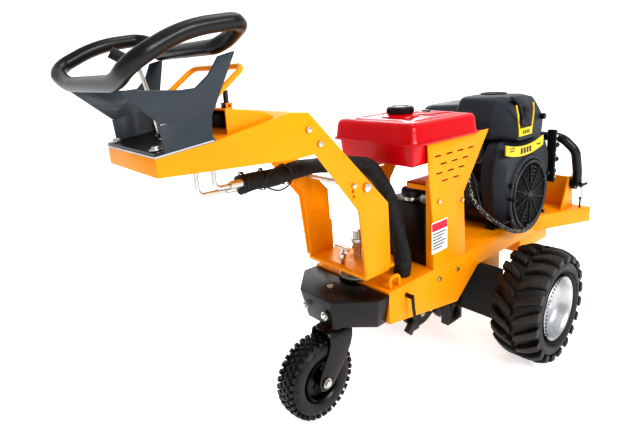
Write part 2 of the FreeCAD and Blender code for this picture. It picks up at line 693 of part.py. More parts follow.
def engine():
    """Twin-cylinder engine: case, finned heads, fan shroud, covers, guard, panel and muffler."""
    crank = d.crank_reach
    level = d.crank_level
    face = -d.engine_face
    half = d.engine_half
    rail_top = d.deck_top + 14
    rails = [block((crank - 150, crank + 150), (y, y + 34), (d.deck_top, rail_top)) for y in (-120, 70)]
    feet = [hexagon(9, 8, crank + x, y + 17, rail_top) for x in (-138, 138) for y in (-120, 70)]
    keep("engine_rails", group(*rails, *feet))
    case = block((crank - 118, crank + 118), (-128, 160), (rail_top, level + 92))
    sump_bore = rod(d.shaft_radius + d.running_gap, 300, crank, -134, level, "Y")
    keep("crankcase", cut(case, sump_bore))
    heads = []
    for side in (-1, 1):
        core = block((crank - 48, crank + 48), (-70, 120), (level + 93, level + 236))
        fins = [block((crank - 64, crank + 64), (-86, 136), (level + 104 + step * 15, level + 109 + step * 15))
                for step in range(9)]
        barrel = fuse(core, *fins)
        lean = math.radians(38 * side)
        put(barrel, crank - crank * math.cos(lean) - level * math.sin(lean), 0,
            level + crank * math.sin(lean) - level * math.cos(lean),
            Rotation(Vector(0, 1, 0), 38 * side))
        heads.append(barrel)
    trimmed = [cut(item, block((crank - 118, crank + 118), (-128, 160), (rail_top, level + 92.5)),
                   block(edge, (-200, 200), (rail_top, level + 300)))
               for item, edge in zip(heads, ((crank - 0.2, crank + 300), (crank - 300, crank + 0.2)))]
    keep("cylinder_heads", group(*trimmed))

    shroud = [
        (crank - half + 40, rail_top + 2), (crank - half + 4, level - 60), (crank - half, level + 110),
        (crank - half + 44, level + 222), (crank + half - 44, level + 222), (crank + half, level + 110),
        (crank + half - 4, level - 60), (crank + half - 40, rail_top + 2),
    ]
    hollow = [
        (crank - half + 50, rail_top + 14), (crank - half + 18, level - 56), (crank - half + 12, level + 106),
        (crank - half + 52, level + 210), (crank + half - 52, level + 210), (crank + half - 12, level + 106),
        (crank + half - 18, level - 56), (crank + half - 50, rail_top + 14),
    ]
    window = [(crank, level, d.fan_radius + 6)]
    cup = plate("XZ", shroud, face + 6, -128)
    room = plate("XZ", hollow, face + 12, -120)
    eye = rod(d.fan_radius + 6, 20, crank, face, level, "Y")
    keep("fan_shroud", cut(cup, room, eye))
    keep("fan_guard", guard(window[0]))
    blades = [rod(d.fan_radius - 30, 6, crank, face + 40, level, "Y"),
              rod(30, 26, crank, face + 20, level, "Y")]
    wide = d.pulley_width * 0.5
    shaft = rod(d.shaft_radius, d.pulley_plane + wide + 4 - (face + 46), crank, face + 46, level, "Y")
    keep("cooling_fan", fuse(*blades))
    keep("crankshaft", group(shaft, pulley(d.pulley_radius, wide, crank, level)))
    top_low = level + 222
    cover = [
        (crank - 150, top_low), (crank - 158, top_low + 60), (crank - 120, d.engine_top - 8),
        (crank - 90, d.engine_top), (crank + 90, d.engine_top), (crank + 120, d.engine_top - 8),
        (crank + 158, top_low + 60), (crank + 150, top_low),
    ]
    body = plate("XZ", cover, face + 8, 60)
    tail = plate("XZ", [
        (crank - 146, top_low), (crank - 152, top_low + 60), (crank - 110, d.engine_top - 30),
        (crank + 110, d.engine_top - 30), (crank + 152, top_low + 60), (crank + 146, top_low),
    ], 60, 252)
    recess = rod(50, 8, crank + 50, 4, d.engine_top - 6)
    keep("air_cleaner_cover", cut(fuse(body, tail), recess))
    knobs = [rod(11, 16, crank + x, face - 8.2, top_low + 74, "Y") for x in (-112, 112)]
    keep("cover_knobs", group(*knobs))
    panel = block((crank + half + 0.5, crank + half + 14), (face - 4, -90), (level + 5, level + 226))
    keep("control_panel", panel)
    dash = crank + half + 14.3
    keep("ignition_key", fuse(
        rod(9, 8, dash, PANEL_Y, level + 50, "X"),
        block((dash + 7, dash + 26), (PANEL_Y - 2, PANEL_Y + 2), (level + 40, level + 60))))
    keep("choke_knob", fuse(rod(4, 12, dash, PANEL_Y, level + 100, "X"),
                            rod(10, 12, dash + 10, PANEL_Y, level + 100, "X")))
    keep("throttle_knob", fuse(rod(4, 14, dash, PANEL_Y, level + 160, "X"),
                               rod(9, 12, dash + 12, PANEL_Y, level + 160, "X")))
    keep("muffler", rod(46, 220, crank + 118 + 46.3, -60, level + 20, "Y"))


def guard(eye):
    """Fan guard: rim, hub and radial bars in the shroud's round window."""
    x, level, radius = eye
    face = -d.engine_face
    rim = cut(rod(radius + 8, 6, x, face, level, "Y"), rod(radius - 10, 6, x, face, level, "Y"))
    hub = rod(16, 6, x, face, level, "Y")
    bars = []
    for step in range(5):
        bar = block((1 - radius, radius - 1), (0, 4), (-2, 2))
        bar.Placement = Placement(Vector(x.value, face.value + 1, level.value),
                                  Rotation(Vector(0, 1, 0), 36 * step))
        bind(bar, ".Placement.Base.x", x)
        bind(bar, ".Placement.Base.z", level)
        bind(bar, ".Placement.Base.y", face + 1)
        shift = Rotation(Vector(0, 1, 0), 36 * step).multVec(Vector((1 - radius).value, 0, -2))
        bind(bar, ".Placement.Base.x", x + shift.x)
        bind(bar, ".Placement.Base.z", level + shift.z)
        bars.append(bar)
    return fuse(rim, hub, *bars)


def drive():
    """Cutter wheel with its bolted teeth, shaft and bearings, and the belt drive on the left."""
    back = -d.cutter_back
    level = d.cutter_level
    thick = d.cutter_thick
    disc = turned([
        (d.shaft_radius, -34), (34, -34), (34, -thick * 0.5), (d.cutter_disc, -thick * 0.5),
        (d.cutter_disc, thick * 0.5), (34, thick * 0.5), (34, 34), (d.shaft_radius, 34),
    ], back, 0, level, "Y")
    keep("cutter_wheel", disc)
    teeth = []
    for step in range(8):
        side = -1 if step % 2 else 1
        angle = math.radians(45 * step)
        lump = block((d.cutter_disc - 22, d.cutter_reach), (0, 20), (-15, 15))
        turn = Rotation(Vector(0, 1, 0), -math.degrees(angle))
        shift = turn.multVec(Vector((d.cutter_disc - 22).value, 0, -15))
        lump.Placement = Placement(Vector(0, 0, 0), turn)
        bind(lump, ".Placement.Base.x", back + shift.x)
        bind(lump, ".Placement.Base.z", level + shift.z)
        bind(lump, ".Placement.Base.y", thick * 0.5 if side > 0 else thick * -0.5 - 20)
        teeth.append(lump)
    keep("cutter_teeth", group(*teeth))
    inner = d.chassis_half - d.plate
    reach = d.pulley_plane + d.pulley_width * 0.5 + 6
    shaft = rod(d.shaft_radius, reach + inner - 10, back, 10 - inner, level, "Y")
    hangers = []
    for side in (-1, 1):
        low, high = sorted((inner * side, (inner - 30) * side), key=lambda item: item.value)
        ring = cut(block((back - 42, back + 42), (low, high), (level - 40, d.deck_top - d.deck_thick)),
                   rod(d.shaft_radius + d.running_gap, high - low + 2, back, low - 1, level, "Y"))
        hangers.append(ring)
    keep("cutter_bearings", group(*hangers))
    wide = d.pulley_width * 0.5
    crank = d.crank_reach
    keep("cutter_shaft", group(shaft, pulley(d.cutter_pulley, wide, back, level)))
    run = Vector((crank - back).value, 0, (d.crank_level - level).value)
    keep("drive_belt", belt(run, wide.value - 5))
    hood = plate("XZ", [
        (back - 84, level - 50), (back - 10, level - 80), (back + 76, level - 40), (-60, 268),
        (crank + 66, d.crank_level - 70),
        (crank + 78, d.crank_level + 50), (crank - 20, d.crank_level + 78), (back - 66, level + 66),
    ], d.pulley_plane + wide + 10, d.pulley_plane + wide + 14)
    stay = (d.chassis_half, d.pulley_plane + wide + 10)
    keep("belt_guard", fuse(hood, block((-108, -96), stay, (378, 391)), block((0, 12), stay, (378, 390))))


def pulley(radius, wide, x, level):
    return turned([
        (d.shaft_radius, -wide), (radius + 6, -wide), (radius + 6, 3 - wide), (radius - 8, 5 - wide),
        (radius - 8, wide - 5), (radius + 6, wide - 3), (radius + 6, wide), (d.shaft_radius, wide),
    ], x, d.pulley_plane, level, "Y")


def belt(run, half):
    """The drive belt: a flat loop round both pulleys, with its true tangent runs."""
    small = d.pulley_radius.value - 7
    large = d.cutter_pulley.value - 7
    thick = 9
    start = Vector(-d.cutter_back.value, 0, d.cutter_level.value)
    tilt = math.atan2(run.z, run.x)
    spread = math.acos((large - small) / run.Length)

    def loop(extra):
        spots = []
        for centre, radius, first, last in (
                (start, large + extra, tilt + spread, tilt + 2 * math.pi - spread),
                (start + run, small + extra, tilt - spread, tilt + spread)):
            for share in (0, 0.5, 1):
                angle = first + (last - first) * share
                spots.append(centre + Vector(math.cos(angle), 0, math.sin(angle)) * radius)
        far_a, far_b, far_c, near_a, near_b, near_c = spots
        return Part.Wire([
            Part.Arc(far_a, far_b, far_c).toShape(), Part.LineSegment(far_c, near_a).toShape(),
            Part.Arc(near_a, near_b, near_c).toShape(), Part.LineSegment(near_c, far_a).toShape(),
        ])

    ring = Part.Face(loop(thick)).cut(Part.Face(loop(0)))
    ring.translate(Vector(0, d.pulley_plane.value - half, 0))
    return solid(ring.extrude(Vector(0, 2 * half, 0)))


def far_end():
    """Back plate, gussets and the clamped guard hoop behind the engine, and what hangs below."""
    end = d.flare_end
    pivot = (d.hoop_pivot_reach, d.hoop_pivot_level)
    outline_y = d.hoop_half
    back = block((end - 60, end - 52), (60 - outline_y, outline_y - 60), (d.deck_top, d.deck_top + 136))
    gusset = [(end - 130, d.deck_top), (end - 66, d.deck_top + 136), (end - 30, d.deck_top + 136),
              (end - 14, d.deck_top)]
    hole = [(pivot[0], pivot[1], 8 + d.running_gap)]
    right = plate("XZ", gusset, 60 - outline_y - 8, 60 - outline_y, hole)
    left = plate("XZ", gusset, outline_y - 60, outline_y - 60 + 8, hole)
    keep("back_plate", fuse(back, right, left))
    reach = outline_y - 26
    hoop = []
    run = [(pivot[0], 0), (pivot[0] - 4, 60), (pivot[0] - 36, 150)]
    for side in (-1, 1):
        leg = [(x, reach * side, pivot[1] + rise) for x, rise in run]
        leg.append((pivot[0] - 58, (reach - 50) * side, pivot[1] + 208))
        hoop += leg if side < 0 else leg[::-1]
    tube = bent(hoop, d.hoop_radius, 60)
    knuckles = [rod(24, 20, pivot[0], y, pivot[1], "Y") for y in (reach - 20, -reach)]
    ends = [rod(8, 20, pivot[0], y, pivot[1], "Y") for y in (reach - 32, 12 - reach)]
    keep("guard_hoop", fuse(tube, *knuckles, *ends))
    box_foot = d.deck_top - d.skirt_depth - 90
    under = d.deck_top - d.deck_thick
    keep("hydraulic_box", block((end - 330, end - 70), (-130, 130), (box_foot, under - 0.1)))
    keep("chip_curtain", fuse(
        block((-90, -86), (-248, d.chassis_half - d.plate - 10), (125, 330.8)),
        block((-94, -84), (d.plate - d.chassis_half, d.chassis_half - d.plate), (330.8, 345))))
    loops = []
    for side in (-1, 1):
        y = (d.chassis_half - 16) * side
        foot = d.deck_top
        loops.append(bent([(-575, y, foot), (-575, y, foot + 34), (-535, y, foot + 34), (-535, y, foot)],
                          6, 12))
    keep("tie_down_loops", group(*loops))
    keep("side_lever", fuse(rod(7, 19.7, -520, -d.chassis_half - 20, 366, "Y"),
                            bent([(-520, -d.chassis_half - 24, 372), (-518, -d.chassis_half - 26, 330),
                                  (-514, -d.chassis_half - 28, 292)], 5, 200)))


def bolts():
    """Zinc hexagon heads on the outside faces."""
    pieces = []
    face = -d.chassis_half - 7
    for x, level in ((-350, 360), (-247, 360), (-353, 624), (-220, 600)):
        pieces.append(hexagon(8, 7, x, face, level, "Y"))
        pieces.append(hexagon(8, 7, x, d.chassis_half, level, "Y"))
    for step in range(4):
        angle = math.radians(45 + 90 * step)
        reach = d.hub_flange - 12
        pieces.append(hexagon(8, 7, -d.column_back + reach * math.cos(angle), reach * math.sin(angle),
                              d.deck_top + 10))
    pieces.append(hexagon(11, 9, -d.caster_pivot, 0, d.deck_top - 7))
    keep("chassis_bolts", group(*pieces))
    arm_face = -d.arm_half - 7
    turn = math.radians(LOCK_ANGLE)
    lock = (-d.arm_pivot_back + d.lock_reach * math.cos(turn),
            d.arm_pivot_level + d.lock_reach * math.sin(turn))
    pieces = []
    for x, level in ((-846, 913), (-812, 873), lock):
        pieces.append(hexagon(8, 7, x, arm_face, level, "Y"))
        pieces.append(hexagon(8, 7, x, d.arm_half, level, "Y"))
    keep("arm_bolts", group(*pieces))
    keep("wiring_loom", bent([
        (-146, -145, 696), (-170, -152, 650), (-176, -176, 590), (-118, -197, 521), (24, -207, 432),
        (120, -209, 404), (176, -205, 396), (211, -194.2, 402),
    ], 7))


def finish():
    """Rebuilds, checks every object and sub-part, and writes one file for each node."""
    doc.recompute()
    for item in doc.Objects:
        if "Invalid" in item.State or "Error" in item.State:
            raise RuntimeError(f"{item.Name} ({item.Label}) did not build: {item.State}")
    for name, item in nodes.items():
        if item.Shape.isNull() or not item.Shape.isValid():
            raise RuntimeError(f"{name} has no valid shape")
    os.makedirs("parts", exist_ok=True)
    for name, item in nodes.items():
        item.Shape.exportStep(f"parts/{name}.step")
    print(len(nodes), "nodes written")


chassis()
deck()
bumper()
caster()
motors()
drive_wheel("right", -1)
drive_wheel("left", 1)
column()
yoke()
arm()
console()
handles()
levers()
plumbing()
tank()
engine()
drive()
far_end()
bolts()
finish()
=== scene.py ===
import json
import math
import random
import bmesh
import bpy
from mathutils import Matrix, Vector


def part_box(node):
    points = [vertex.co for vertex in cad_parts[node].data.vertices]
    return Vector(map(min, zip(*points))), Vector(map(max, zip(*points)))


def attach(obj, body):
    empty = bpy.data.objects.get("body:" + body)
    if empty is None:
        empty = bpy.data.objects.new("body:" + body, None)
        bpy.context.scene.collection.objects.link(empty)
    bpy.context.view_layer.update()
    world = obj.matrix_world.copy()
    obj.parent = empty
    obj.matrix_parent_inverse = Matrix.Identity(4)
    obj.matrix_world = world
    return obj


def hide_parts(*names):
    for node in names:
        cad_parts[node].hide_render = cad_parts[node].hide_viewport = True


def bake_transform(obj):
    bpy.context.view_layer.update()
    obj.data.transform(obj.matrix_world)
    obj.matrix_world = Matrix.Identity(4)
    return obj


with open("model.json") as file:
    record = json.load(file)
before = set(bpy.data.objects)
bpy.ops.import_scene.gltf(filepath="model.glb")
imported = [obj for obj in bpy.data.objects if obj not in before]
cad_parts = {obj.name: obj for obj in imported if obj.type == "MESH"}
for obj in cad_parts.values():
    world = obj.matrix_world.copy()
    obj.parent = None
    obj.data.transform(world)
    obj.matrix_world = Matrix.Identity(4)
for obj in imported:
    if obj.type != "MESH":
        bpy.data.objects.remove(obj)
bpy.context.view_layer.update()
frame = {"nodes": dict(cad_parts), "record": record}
SLOT_OF = {part["node"]: part["material_slot"] for part in frame["record"]["subparts"]}
BODY_OF = {node: body for body, names in frame["record"]["behaviour"]["bodies"].items() for node in names}
TAU = 2 * math.pi


# ---------------------------------------------------------------- shader maths


class Value:
    """A shader number: Python's operators on it add Math nodes."""

    def __init__(self, finish, socket):
        self.finish = finish
        self.socket = socket

    def math(self, operation, first, second=0.0):
        node = self.finish.node("ShaderNodeMath", {"operation": operation}, {0: first, 1: second})
        return Value(self.finish, node.outputs[0])

    def __add__(self, other):
        return self.math("ADD", self, other)

    def __rsub__(self, other):
        return self.math("SUBTRACT", other, self)

    def __mul__(self, other):
        return self.math("MULTIPLY", self, other)

    def above(self, level):
        return self.math("GREATER_THAN", self, level)

    def sine(self):
        return self.math("SINE", self)

    def ramp(self, low, high):
        node = self.finish.node("ShaderNodeMapRange", {}, {0: self, 1: low, 2: high})
        return Value(self.finish, node.outputs[0])

    __radd__ = __add__
    __rmul__ = __mul__


class Finish:
    """A material under construction, patterned in the piece's own object space."""

    def __init__(self, name):
        self.material = bpy.data.materials.new(name)
        self.material.use_nodes = True
        self.tree = self.material.node_tree
        self.shader = self.tree.nodes["Principled BSDF"]
        self.place = self.node("ShaderNodeTexCoord", {}, {}).outputs["Object"]

    def node(self, kind, settings, inputs):
        node = self.tree.nodes.new(kind)
        for key, value in settings.items():
            setattr(node, key, value)
        for key, value in inputs.items():
            self.feed(node.inputs[key], value)
        return node

    def feed(self, socket, value):
        if isinstance(value, Value):
            value = value.socket
        if isinstance(value, bpy.types.NodeSocket):
            self.tree.links.new(value, socket)
        else:
            socket.default_value = value

    def noise(self, scale, detail=3.0, rough=0.55):
        node = self.node("ShaderNodeTexNoise", {},
                         {"Vector": self.place, "Scale": scale, "Detail": detail, "Roughness": rough})
        return Value(self, node.outputs[0])

    def cells(self, scale):
        node = self.node("ShaderNodeTexVoronoi", {}, {"Vector": self.place, "Scale": scale})
        return Value(self, node.outputs["Distance"])

    def axis(self, index):
        node = self.node("ShaderNodeSeparateXYZ", {}, {0: self.place})
        return Value(self, node.outputs[index])

    def mix(self, share, first, second):
        node = self.node("ShaderNodeMix", {"data_type": "RGBA"}, {0: share})
        self.feed(node.inputs[6], first)
        self.feed(node.inputs[7], second)
        return node.outputs[2]

    def done(self, color, rough, metal=0.0, height=None, depth=0.0005, strength=0.4, coat=0.0):
        self.feed(self.shader.inputs["Base Color"], color)
        self.feed(self.shader.inputs["Roughness"], rough)
        self.feed(self.shader.inputs["Metallic"], metal)
        self.feed(self.shader.inputs["Coat Weight"], coat)
        self.shader.inputs["Coat Roughness"].default_value = 0.08
        if height is not None:
            bump = self.node("ShaderNodeBump", {}, {"Height": height, "Strength": strength,
                                                    "Distance": depth})
            self.tree.links.new(bump.outputs[0], self.shader.inputs["Normal"])
        return self.material


def rgb(red, green, blue):
    """An opaque colour."""
    return (red, green, blue, 1.0)


def paint(name, color, shade, rough, peel=0.0002, coat=0.3):
    """Sprayed paint: faint tone drift, orange peel and a little dust."""
    finish = Finish(name)
    drift = finish.noise(3.0).ramp(0.35, 0.7)
    dust = finish.noise(38.0, 5.0).ramp(0.55, 0.8)
    tone = finish.mix(drift, rgb(*color), rgb(*shade))
    finish.shader.inputs["Specular IOR Level"].default_value = 0.3
    return finish.done(tone, rough + dust * 0.08, height=finish.noise(420.0, 2.0), depth=peel, coat=coat)


def powder_coat(name, color, rough, grain=900.0):
    """Textured powder coat, slightly scuffed."""
    finish = Finish(name)
    scuff = finish.noise(22.0, 6.0, 0.65).ramp(0.58, 0.78)
    pale = tuple(channel * 1.8 + 0.01 for channel in color)
    tone = finish.mix(scuff * 0.5, rgb(*color), rgb(*pale))
    return finish.done(tone, rough + scuff * 0.14, height=finish.noise(grain, 2.0), depth=0.00035,
                       coat=0.05)


def moulded_plastic(name, color, rough, grain=1300.0):
    finish = Finish(name)
    drift = finish.noise(6.0).ramp(0.3, 0.75)
    pale = tuple(channel * 1.35 + 0.004 for channel in color)
    tone = finish.mix(drift, rgb(*color), rgb(*pale))
    return finish.done(tone, rough + drift * 0.08, height=finish.cells(grain), depth=0.00018)


def plated(name, color, rough, spangle=140.0):
    """Bright plated steel with a crystalline drift and handling marks."""
    finish = Finish(name)
    grain = finish.cells(spangle).ramp(0.0, 0.7)
    smear = finish.noise(30.0, 5.0).ramp(0.45, 0.75)
    dull = tuple(channel * 0.72 for channel in color)
    tone = finish.mix(grain * 0.35 + smear * 0.3, rgb(*color), rgb(*dull))
    return finish.done(tone, rough + smear * 0.18, metal=1.0, height=finish.noise(300.0), depth=0.0001)


def casting(name, color, rough, metal):
    finish = Finish(name)
    soot = finish.noise(14.0, 6.0, 0.65).ramp(0.4, 0.75)
    dark = tuple(channel * 0.45 for channel in color)
    tone = finish.mix(soot, rgb(*color), rgb(*dark))
    return finish.done(tone, rough + soot * 0.1, metal=metal, height=finish.noise(520.0, 3.0),
                       depth=0.0006)


def tyre_rubber(name, dusty=rgb(0.060, 0.050, 0.040), rough=0.46):
    """Black rubber, dusty in places, with a faint moulding grain."""
    finish = Finish(name)
    dust = finish.noise(16.0, 6.0, 0.68).ramp(0.42, 0.75)
    patch = finish.noise(3.5, 4.0).ramp(0.35, 0.7)
    tone = finish.mix(dust * 0.5 + patch * 0.2, rgb(0.010, 0.0095, 0.009), dusty)
    return finish.done(tone, rough + dust * 0.22, height=finish.noise(260.0, 4.0), depth=0.0005)


def woven_sleeve(name):
    """Braided textile hose sleeve."""
    finish = Finish(name)
    thread = 1500.0
    weave = (finish.axis(0) * thread).sine() * ((finish.axis(2) + finish.axis(1)) * thread).sine()
    crease = finish.noise(60.0, 4.0).ramp(0.35, 0.7)
    tone = finish.mix(crease, rgb(0.008, 0.008, 0.009), rgb(0.035, 0.034, 0.036))
    return finish.done(tone, 0.62 + crease * 0.12, height=weave * 0.4 + crease, depth=0.0022,
                       strength=0.6)


def loom_with_painted_glints(name):
    """Black loom with bright flecks: painted highlights that stand in for glints off its corrugations."""
    finish = Finish(name)
    # painted highlight: pale flecks stand in for light glinting off the loom's corrugations
    painted_glint = finish.noise(210.0, 1.0).above(0.60)
    tone = finish.mix(painted_glint, rgb(0.010, 0.010, 0.010), rgb(0.55, 0.53, 0.48))
    return finish.done(tone, 0.6 - painted_glint * 0.1, height=painted_glint, depth=0.0006)


def print_ink(name, color, rough=0.35):
    finish = Finish(name)
    wear = finish.noise(55.0, 5.0).ramp(0.6, 0.85)
    dull = tuple(channel * 0.82 for channel in color)
    return finish.done(finish.mix(wear, rgb(*color), rgb(*dull)), rough + wear * 0.1,
                       height=finish.noise(500.0), depth=0.00005)


MATERIALS = {
    "yellow_paint": paint("yellow paint", (0.98, 0.37, 0.0), (0.90, 0.33, 0.0), 0.45, 0.0002, 0.06),
    "black_paint": powder_coat("black powder coat", (0.0055, 0.0055, 0.006), 0.33),
    "slate_paint": powder_coat("slate powder coat", (0.034, 0.046, 0.058), 0.40, 1100.0),
    "red_paint": paint("red tank paint", (0.62, 0.0, 0.008), (0.54, 0.0, 0.006), 0.28, 0.0001, 0.18),
    "black_plastic": moulded_plastic("black plastic", (0.0075, 0.0075, 0.008), 0.36),
    "engine_cover": moulded_plastic("charcoal engine cover", (0.018, 0.023, 0.030), 0.46),
    "cast_aluminium": casting("dark cast aluminium", (0.07, 0.07, 0.075), 0.5, 0.8),
    "zinc": plated("zinc plate", (0.66, 0.65, 0.61), 0.26),
    "galvanised": plated("silver wheel paint", (0.60, 0.61, 0.62), 0.34, 90.0),
    "tyre_rubber": tyre_rubber("tyre rubber"),
    "black_rubber": moulded_plastic("black rubber", (0.011, 0.011, 0.011), 0.58, 700.0),
    "dark_steel": casting("dark steel", (0.055, 0.054, 0.053), 0.45, 0.8),
    "tool_steel": casting("tool steel", (0.10, 0.10, 0.105), 0.36, 0.9),
}
CASTER_RUBBER = tyre_rubber("caster rubber", rgb(0.022, 0.022, 0.024), 0.34)
SLEEVE = woven_sleeve("braided sleeve")
LOOM = loom_with_painted_glints("loom with painted glints")
WHITE_LABEL = print_ink("white label", (0.82, 0.82, 0.80))
RED_INK = print_ink("red ink", (0.62, 0.01, 0.05))
BLACK_INK = print_ink("black ink", (0.015, 0.015, 0.015))
YELLOW_INK = print_ink("yellow label", (0.88, 0.62, 0.01))


# ---------------------------------------------------------------- building pieces


def placed(name, data):
    """An object in the scene for a mesh, curve or lamp."""
    item = bpy.data.objects.new(name, data)
    bpy.context.scene.collection.objects.link(item)
    return item


def baked(holder):
    """The finished mesh of an object with its modifiers worked in; the object goes."""
    bpy.context.view_layer.update()
    mesh = bpy.data.meshes.new_from_object(holder.evaluated_get(bpy.context.evaluated_depsgraph_get()))
    bpy.data.objects.remove(holder)
    return mesh


def link(name, mesh, material, body, replaced=()):
    """Puts a finished mesh in the scene, with its finish, on its body."""
    piece = placed(name, mesh)
    mesh.materials.clear()
    mesh.materials.append(material)
    if replaced:
        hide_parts(*replaced)
    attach(piece, body)
    return piece


def smooth(mesh, degrees=35):
    """Shades smooth, with edges sharper than the angle kept crisp."""
    for face in mesh.polygons:
        face.use_smooth = True
    mesh.set_sharp_from_angle(angle=math.radians(degrees))


def from_bmesh(work, name, degrees=35, turn_out=True):
    """Welds a mesh under construction, turns its faces outwards and finishes it."""
    bmesh.ops.remove_doubles(work, verts=work.verts, dist=1e-6)
    if turn_out:
        bmesh.ops.recalc_face_normals(work, faces=work.faces)
    mesh = bpy.data.meshes.new(name)
    work.to_mesh(mesh)
    work.free()
    smooth(mesh, degrees)
    return mesh


def applied(mesh, *modifiers):
    """A copy of the mesh with modifiers, each (type, settings), worked into it."""
    holder = placed("holder", mesh)
    for kind, settings in modifiers:
        modifier = holder.modifiers.new(kind.lower(), kind)
        for key, value in settings.items():
            setattr(modifier, key, value)
    return baked(holder)


def bevelled(mesh, width, segments=2, degrees=30):
    """Eases every edge sharper than the angle."""
    result = applied(mesh, ("BEVEL", {"width": width, "segments": segments, "limit_method": "ANGLE",
                                      "angle_limit": math.radians(degrees), "use_clamp_overlap": True}))
    smooth(result, 40)
    return result


def soften(node, width=0.0012, material=None, degrees=30):
    """A CAD piece with eased edges and smooth round faces in place of its plain mesh."""
    work = bmesh.new()
    work.from_mesh(frame["nodes"][node].data)
    bmesh.ops.remove_doubles(work, verts=work.verts, dist=1e-5)
    bmesh.ops.dissolve_limit(work, angle_limit=math.radians(1.0), verts=work.verts, edges=work.edges)
    mesh = from_bmesh(work, node, turn_out=False)
    if width:
        mesh = bevelled(mesh, width, 2, degrees)
    slot = SLOT_OF[node]
    return link(f"{node}_finished", mesh, material or MATERIALS[slot], BODY_OF[node], (node,))


def extra(name, mesh, like, material=None):
    """A new piece on the same body as a CAD node, with that node's finish unless told."""
    slot = SLOT_OF[like]
    return link(name, mesh, material or MATERIALS[slot], BODY_OF[like])


def stand_in(name, mesh, node, material=None):
    """A detailed piece that shows in place of a CAD node."""
    slot = SLOT_OF[node]
    return link(name, mesh, material or MATERIALS[slot], BODY_OF[node], (node,))


def joined(meshes, name, degrees=35):
    """Several meshes in one."""
    work = bmesh.new()
    for mesh in meshes:
        work.from_mesh(mesh)
    result = bpy.data.meshes.new(name)
    work.to_mesh(result)
    work.free()
    smooth(result, degrees)
    return result


def slab(low, high, bevel=0.001, segments=2):
    """A box between two corners with eased edges."""
    work = bmesh.new()
    bmesh.ops.create_cube(work, size=1.0)
    low, high = Vector(low), Vector(high)
    for vert in work.verts:
        vert.co = Vector(((low[i] + high[i]) / 2 + vert.co[i] * (high[i] - low[i]) for i in range(3)))
    mesh = from_bmesh(work, "slab")
    return bevelled(mesh, bevel, segments) if bevel else mesh


def moved(mesh, offset=(0, 0, 0), turn=None):
    """A copy of the mesh, turned about the origin and then shifted."""
    mesh = mesh.copy()
    mesh.transform(Matrix.Translation(Vector(offset)) @ (turn.to_4x4() if turn else Matrix.Identity(4)))
    return mesh


def lathe(profile, centre, axis="Y", sides=96, degrees=35):
    """A closed (radius, along) profile turned about an axis through the centre."""
    work = bmesh.new()
    centre = Vector(centre)
    rings = []
    for step in range(sides):
        angle = TAU * step / sides
        ring = []
        for radius, along in profile:
            across, up = radius * math.cos(angle), radius * math.sin(angle)
            spot = {"Y": (across, along, up), "Z": (across, up, along), "X": (along, across, up)}[axis]
            ring.append(work.verts.new(centre + Vector(spot)))
        rings.append(ring)
    for step in range(sides):
        here, there = rings[step], rings[(step + 1) % sides]
        for index in range(len(profile)):
            after = (index + 1) % len(profile)
            corners = [here[index], here[after], there[after], there[index]]
            if profile[index][0] < 1e-6 and profile[after][0] < 1e-6:
                continue
            work.faces.new(corners)
    bmesh.ops.remove_doubles(work, verts=work.verts, dist=1e-6)
    bmesh.ops.dissolve_degenerate(work, edges=work.edges, dist=1e-7)
    return from_bmesh(work, "lathe", degrees)


def peg(radius, start, end, centre, axis="Y", sides=96, degrees=35):
    """A plain round bar along an axis through the centre."""
    return lathe([(0.0, start), (radius, start), (radius, end), (0.0, end)], centre, axis, sides, degrees)


def collar(bore, radius, start, end, centre, axis="Y", sides=96, degrees=35):
    """A plain ring about an axis through the centre."""
    return lathe([(bore, start), (radius, start), (radius, end), (bore, end)], centre, axis, sides, degrees)


def loft(rings, degrees=35, capped=True):
    """Skins equal rings of points one after another."""
    work = bmesh.new()
    rows = [[work.verts.new(Vector(spot)) for spot in ring] for ring in rings]
    count = len(rows[0])
    for here, there in zip(rows, rows[1:]):
        for index in range(count):
            after = (index + 1) % count
            work.faces.new([here[index], here[after], there[after], there[index]])
    if capped:
        work.faces.new(rows[0])
        work.faces.new(rows[-1])
    return from_bmesh(work, "loft", degrees)


def rounded_outline(corners, radius, count):
    """Even points round a polygon whose corners are eased by arcs."""
    spots = [Vector(corner) for corner in corners]
    path = []
    for index, spot in enumerate(spots):
        before = spots[index - 1] - spot
        after = spots[(index + 1) % len(spots)] - spot
        reach = min(radius, 0.45 * before.length, 0.45 * after.length)
        start = spot + before.normalized() * reach
        end = spot + after.normalized() * reach
        for step in range(7):
            share = step / 6
            path.append(start * (1 - share) ** 2 + spot * 2 * share * (1 - share) + end * share ** 2)
    lengths = [0.0]
    for index in range(len(path)):
        lengths.append(lengths[-1] + (path[(index + 1) % len(path)] - path[index]).length)
    result = []
    place = 0
    for step in range(count):
        want = lengths[-1] * step / count
        while lengths[place + 1] < want:
            place += 1
        share = (want - lengths[place]) / max(lengths[place + 1] - lengths[place], 1e-9)
        result.append(path[place].lerp(path[(place + 1) % len(path)], share))
    return result


def inset(outline, amount):
    """Moves an outline's points inwards along their own normals."""
    count = len(outline)
    area = sum(outline[i].x * outline[(i + 1) % count].y - outline[(i + 1) % count].x * outline[i].y
               for i in range(count))
    sign = 1 if area > 0 else -1
    result = []
    for index, spot in enumerate(outline):
        way = (outline[(index + 1) % count] - outline[index - 1]).normalized()
        result.append(spot + Vector((-way.y, way.x)) * amount * sign)
    return result


